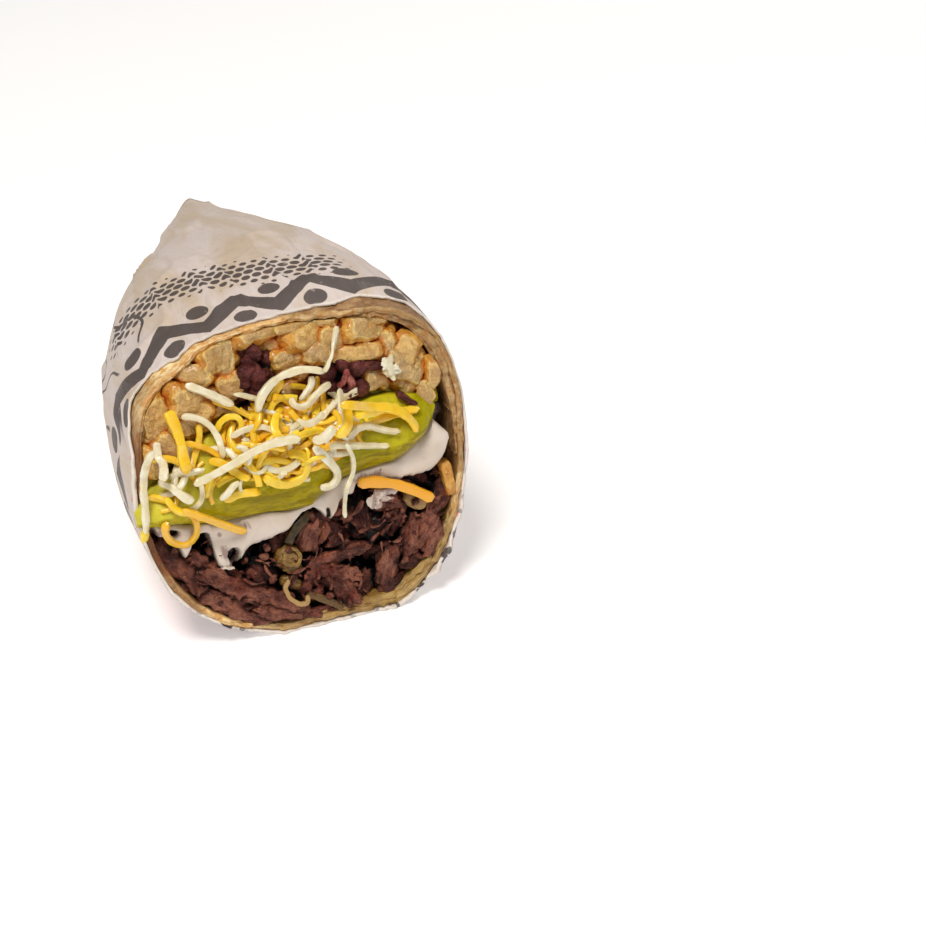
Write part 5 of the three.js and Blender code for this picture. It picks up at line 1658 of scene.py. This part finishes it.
def scatterTree():
    # strews short bent shreds over a surface
    graph, given = newTree("shredScatter", (
        ("Density", "Float", 40000.0), ("Length", "Float", 0.008), ("Width", "Float", 0.0018),
        ("Thickness", "Float", 0.0012), ("Seed", "Int", 1)))
    length = given.also("Length")
    profile = shredProfile(graph, given, 1, given.also("Thickness") * 0.3)
    kinds = None
    for bend, lift in ((0.10, 0.05), (0.35, 0.16), (-0.5, 0.10), (0.8, 0.22)):
        ends = [graph.node("ShaderNodeCombineXYZ", None, {0: length * x, 1: length * y, 2: length * z})
                for x, y, z in ((-0.5, 0.0, 0.0), (0.0, bend, lift), (0.5, 0.0, 0.0))]
        curve = graph.node("GeometryNodeCurveQuadraticBezier", None,
                           {"Resolution": 9, "Start": ends[0], "Middle": ends[1], "End": ends[2]})
        curve = graph.node("GeometryNodeSetCurveNormal", {"mode": "FREE"},
                           {"Curve": curve, "Normal": (0.0, 0.0, 1.0)})
        shred = graph.node("GeometryNodeCurveToMesh", None,
                           {"Curve": curve, "Profile Curve": profile, "Fill Caps": True})
        shred = graph.node("GeometryNodeGeometryToInstance", None, {"Geometry": shred})
        if kinds is None:
            kinds = graph.tree.nodes.new("GeometryNodeJoinGeometry")
        graph.tree.links.new(shred.socket, kinds.inputs[0])
    points = graph.node("GeometryNodeDistributePointsOnFaces", {"distribute_method": "RANDOM"},
                        {"Mesh": given, "Density": given.also("Density"), "Seed": given.also("Seed")})
    size = graph.node("FunctionNodeRandomValue", {"data_type": "FLOAT"},
                      {2: 0.55, 3: 1.15, "Seed": given.also("Seed")}, output=1)
    many = graph.node("GeometryNodeInstanceOnPoints", None,
                      {"Points": points, "Instance": Value(graph, kinds.outputs[0]), "Pick Instance": True,
                       "Rotation": points.also("Rotation"), "Scale": size})
    spin = graph.node("FunctionNodeRandomValue", {"data_type": "FLOAT_VECTOR"},
                      {0: (-0.35, -0.35, -3.14), 1: (0.35, 0.35, 3.14), "Seed": given.also("Seed") + 3.0})
    many = graph.node("GeometryNodeRotateInstances", None,
                      {"Instances": many, "Rotation": spin, "Local Space": True})
    shade = graph.node("FunctionNodeRandomValue", {"data_type": "FLOAT"},
                       {2: -0.3, 3: 0.6, "Seed": given.also("Seed") + 7.0}, output=1)
    many = graph.node("GeometryNodeStoreNamedAttribute", {"data_type": "FLOAT", "domain": "INSTANCE"},
                      {"Geometry": many, "Name": "tone", "Value": shade})
    return endTree(graph, given, many)


def heapRings(form, extra):
    rows = heap["rows"]
    rings = []
    for share in np.linspace(-1, 1, heap["stations"])[1:-1]:
        across = form["across"] + share * form["halfWidth"]
        reach = form["halfHeight"] * math.sqrt(1 - share ** 2)
        up = form["up"] + np.linspace(-1, 1, rows) * reach
        out = restingOut(across, up) + heapThick(across, up) * 0.8 + extra
        out += 0.35 * latticeNoise(facePoint(across, up, out), 2.2, 19)
        back = facePoint(across, up[::-1], np.full(rows, 1.0))
        rings.append(np.concatenate([facePoint(across, up, out), back]))
    return np.array(rings)


def makeScatter(form, kind):
    density, seed = form["shreds"][kind]
    rings = heapRings(form, 0.15)[:, :heap["rows"]]
    count, around = rings.shape[:2]
    i, j = np.meshgrid(np.arange(count - 1), np.arange(around - 1), indexing="ij")
    quads = np.stack([i * around + j, i * around + j + 1, (i + 1) * around + j + 1, (i + 1) * around + j], -1)
    quads = quads.reshape(-1, 4)[:, ::-1]
    ground = makePiece("heapTop" + kind, rings.reshape(-1, 3), [quads], kind, tidy=False)
    return nodesResult(ground, scatterTree(), {
        "Density": float(density), "Length": heap["length"] / 1000, "Width": heap["width"] / 1000,
        "Thickness": heap["shredThick"] / 1000, "Seed": seed, "Material": finishes[kind]})


def scattered(kind):
    return [makeScatter(heap[at], kind) for at in ("middle", "left")]


madeStrands = makeStrands()
heapPoints, heapFaces = loft(heapRings(heap["middle"], -0.2))
# the core under the shreds is painted in the deeper amber, as shade in the gaps between them
heapCore = makePiece("heapCore", heapPoints, heapFaces, "yellow", {"tone": 0.7})
shreds = {
    "whiteShreds": ("white", [*madeStrands["white"], makeFlakes(), *scattered("white")]),
    "cheddarShreds": ("yellow", [heapCore, *madeStrands["yellow"], *scattered("yellow")]),
}
for name, (kind, pieces) in shreds.items():
    dress(joined(name, pieces, kind), "cheese", "shredded_cheese")


def smoothRoute(route, count):
    route = np.array(route, float)
    share = np.concatenate([[0], np.cumsum(np.linalg.norm(np.diff(route, axis=0), axis=1))])
    share /= share[-1]
    lines = [np.interp(np.linspace(0, 1, count), share, values) for values in route.T]
    held = [np.pad(line, 4, mode="reflect", reflect_type="odd") for line in lines]
    return [np.convolve(line, softKernel, mode="valid") for line in held]


def routeStrand(name, finish, route, out, width, thick, tone, tilt=0.0, seed=1, rough=0.1, count=46):
    # a strand through a few places on the cut, at the heights in out
    share = np.linspace(0, 1, count)
    points = facePoint(*smoothRoute(route, count), np.interp(share, np.linspace(0, 1, len(out)), out))
    girth = 0.62 + 0.38 * smoothStep(np.minimum(share, 1 - share), 0.0, 0.05)
    girth = girth * (1 + 0.14 * latticeNoise(points, 3.2, seed))
    mesh = sweepStrand(name, points, width, thick, np.full(count, math.radians(tilt)), girth, tone, finish)
    return roughened(mesh, rough, 1.5, seed)


lone = routeStrand("lone", "yellow", **loneShred)
dress(joined("loneShred", [lone], "yellow"), "cheese", "lone_cheddar_shred")
print("cheese made")


def grainedStrand(name, **form):
    mesh = routeStrand(name, "onion", **form)
    return valued(mesh, grain=fromWorld(mesh))


def lumpPiece(name, finish, place, size, turn, power, tone, **more):
    points, faces, _, local = lump(place, size, turned(*turn), power, 40, 40, **more)
    return makePiece(name, points, faces, finish, {"grain": local, "tone": tone})


sideFry = {"place": (37.0, -11.0, -2.5), "size": (6.8, 3.0, 9.2), "turn": (6, 90, 90), "power": 5.0,
           "tone": 1.6, "lumps": (0.3, 2.0), "grain": (0.12, (1, 1, 1)), "seed": 4}
sideFryBlock = lumpPiece("sideFryBlock", "fries", **sideFry)
valued(sideFryBlock.data, skin=0.9)
dress(sideFryBlock, "fries", "side_fry")

roundOnion = {
    "parts": [
        {"place": (-5.2, -21.2, -1.0), "size": (6.2, 5.8, 4.4), "turn": (-20,), "tone": 0.0, "seed": 3},
        {"place": (-4.4, -24.0, -1.0), "size": (5.0, 2.6, 3.0), "turn": (-10,), "tone": 0.2, "seed": 9}],
    "partForm": {"power": 2.3, "lumps": (0.35, 2.2), "grain": (0.24, (9, 0.9, 0.9))},
    "middle": (-5.2, -21.1),
    "arcs": [(2.55, -70, 130), (1.7, 100, 300), (0.85, -40, 150)],  # how far from the middle, from and to
    "arcForm": {"width": 0.9, "thick": 0.7, "tone": 0.15, "rough": 0.15},
}
form = roundOnion
onionParts = [lumpPiece("onionPart", "onion", **part, **form["partForm"]) for part in form["parts"]]
for number, (reach, first, last) in enumerate(form["arcs"]):
    x, y = form["middle"]
    route = [(x + 0.3 * number + reach * 1.05 * math.cos(t), y + reach * math.sin(t))
             for t in np.radians(np.linspace(first, last, 8))]
    onionParts.append(grainedStrand(
        "onionArc", route=route, out=(0.95 + 0.1 * number,), seed=20 + number, **form["arcForm"]))
dress(joined("roundOnion", onionParts, "onion"), "onion", "onion_round")

loopedOnion = {
    "body": {"place": (-4.7, -28.0, -1.9), "size": (6.2, 3.4, 3.6), "turn": (-29,), "power": 2.6, "tone": 0.0,
             "lumps": (0.3, 2.4), "grain": (0.2, (8, 0.8, 0.8)), "seed": 5},
    "line": {
        "route": [(-6.2, -26.0), (-7.6, -27.6), (-6.8, -30.4), (-4.6, -32.4), (-2.6, -32.6), (-2.2, -30.9)],
        "out": (1.6, 1.9, 2.1, 2.2, 2.1, 1.6), "width": 1.1, "thick": 0.9, "tone": 0.95, "seed": 3,
        "rough": 0.05},
}
loopBody = lumpPiece("loopBody", "onion", **loopedOnion["body"])
loopLine = grainedStrand("loopLine", **loopedOnion["line"])
dress(joined("loopedOnion", [loopBody, loopLine], "onion"), "onion", "onion_loop")

onionStrip = {"route": [(-1.8, -31.2), (1.0, -32.6), (4.0, -34.8), (7.6, -37.2)],
              "out": (-0.2, 0.0, -0.1, -0.6), "width": 1.9, "thick": 1.3, "tone": -0.7, "seed": 7,
              "rough": 0.2}
dress(joined("onionStrip", [grainedStrand("stripLine", **onionStrip)], "onion"), "onion", "onion_strip")

onionSlice = {"place": (28.0, -14.4, -0.2), "size": (6.4, 4.2, 2.6), "turn": (-35, 6), "power": 2.6,
              "tone": 0.6, "lumps": (0.2, 2.0), "grain": (0.12, (8, 0.8, 0.8)), "seed": 8}
dress(lumpPiece("onionSlice", "onion", **onionSlice), "onion", "onion_slice")

pepperStrip = {"route": [(-5.0, -17.6), (-3.8, -15.4), (-2.2, -13.6), (0.0, -12.2), (1.6, -11.6)],
               "out": (0.4, 0.9, 1.1, 0.9, 0.2), "width": 2.0, "thick": 1.3, "tone": 0.0, "seed": 6,
               "rough": 0.12}
skinLine = routeStrand("skinLine", "pepper", **pepperStrip)
dress(joined("pepperStrip", [skinLine], "pepper"), "pepper", "pepper_skin")
print("set-in pieces made")


view = {"lens": 95.0, "azimuth": -23.3, "elevation": 33.0, "distance": 570.0, "aim": (0.0, 0.0, 38.0),
        "aimPixel": (297.0, 468.0), "frame": 926.0}


def makeCamera():
    a, e = math.radians(view["azimuth"]), math.radians(view["elevation"])
    back = np.array([math.sin(a) * math.cos(e), -math.cos(a) * math.cos(e), math.sin(e)])
    right = np.array([math.cos(a), math.sin(a), 0.0])
    up = np.cross(back, right)
    focal = view["lens"] / 36.0 * view["frame"]
    middle = view["frame"] / 2
    sideways = (middle - view["aimPixel"][0]) / focal * view["distance"]
    upwards = (middle - view["aimPixel"][1]) / focal * view["distance"]
    place = np.array(view["aim"]) + back * view["distance"] + right * sideways - up * upwards
    data = bpy.data.cameras.new("camera")
    data.lens = view["lens"]
    data.sensor_width = 36.0
    data.clip_start, data.clip_end = 0.01, 20.0
    camera = link("camera", data)
    turn = Matrix([list(right), list(up), list(back)]).transposed()
    camera.matrix_world = Matrix.Translation(Vector(toWorld(place))) @ turn.to_4x4()
    bpy.context.scene.camera = camera


makeCamera()

lights = {
    "key": {"place": (-0.26, -0.28, 0.85), "size": 0.34, "power": 6.4},
    "rim": {"place": (0.55, 0.35, 0.55), "size": 0.5, "power": 1.5},
    "fill": {"place": (0.25, -0.85, 0.45), "size": 0.6, "power": 1.1},
}
lampTint, lampAim = (1.0, 0.955, 0.905), Vector((0, -0.03, 0.03))
for name, light in lights.items():
    data = bpy.data.lights.new(name, "AREA")
    data.shape = "DISK"
    data.size = light["size"]
    data.energy = light["power"]
    data.color = lampTint
    lamp = link(name, data)
    lamp.location = light["place"]
    lamp.rotation_euler = (lampAim - Vector(light["place"])).to_track_quat("-Z", "Y").to_euler()

world = bpy.data.worlds.new("studio")
bpy.context.scene.world = world
world.use_nodes = True
background = world.node_tree.nodes["Background"].inputs
background["Color"].default_value, background["Strength"].default_value = (1.0, 1.0, 1.0, 1.0), 0.15
bpy.context.scene.view_settings.view_transform = "Standard"

floorHalf, floorLevel = 3, -0.0002
floorCorners = [(x * floorHalf, y * floorHalf, floorLevel) for x, y in ((-1, -1), (1, -1), (1, 1), (-1, 1))]
floorMesh = bpy.data.meshes.new("floor")
floorMesh.from_pydata(floorCorners, [], [(0, 1, 2, 3)])
floorMesh.materials.append(finishes["floor"])
floor = link("floor", floorMesh)
print("camera, light and floor made")
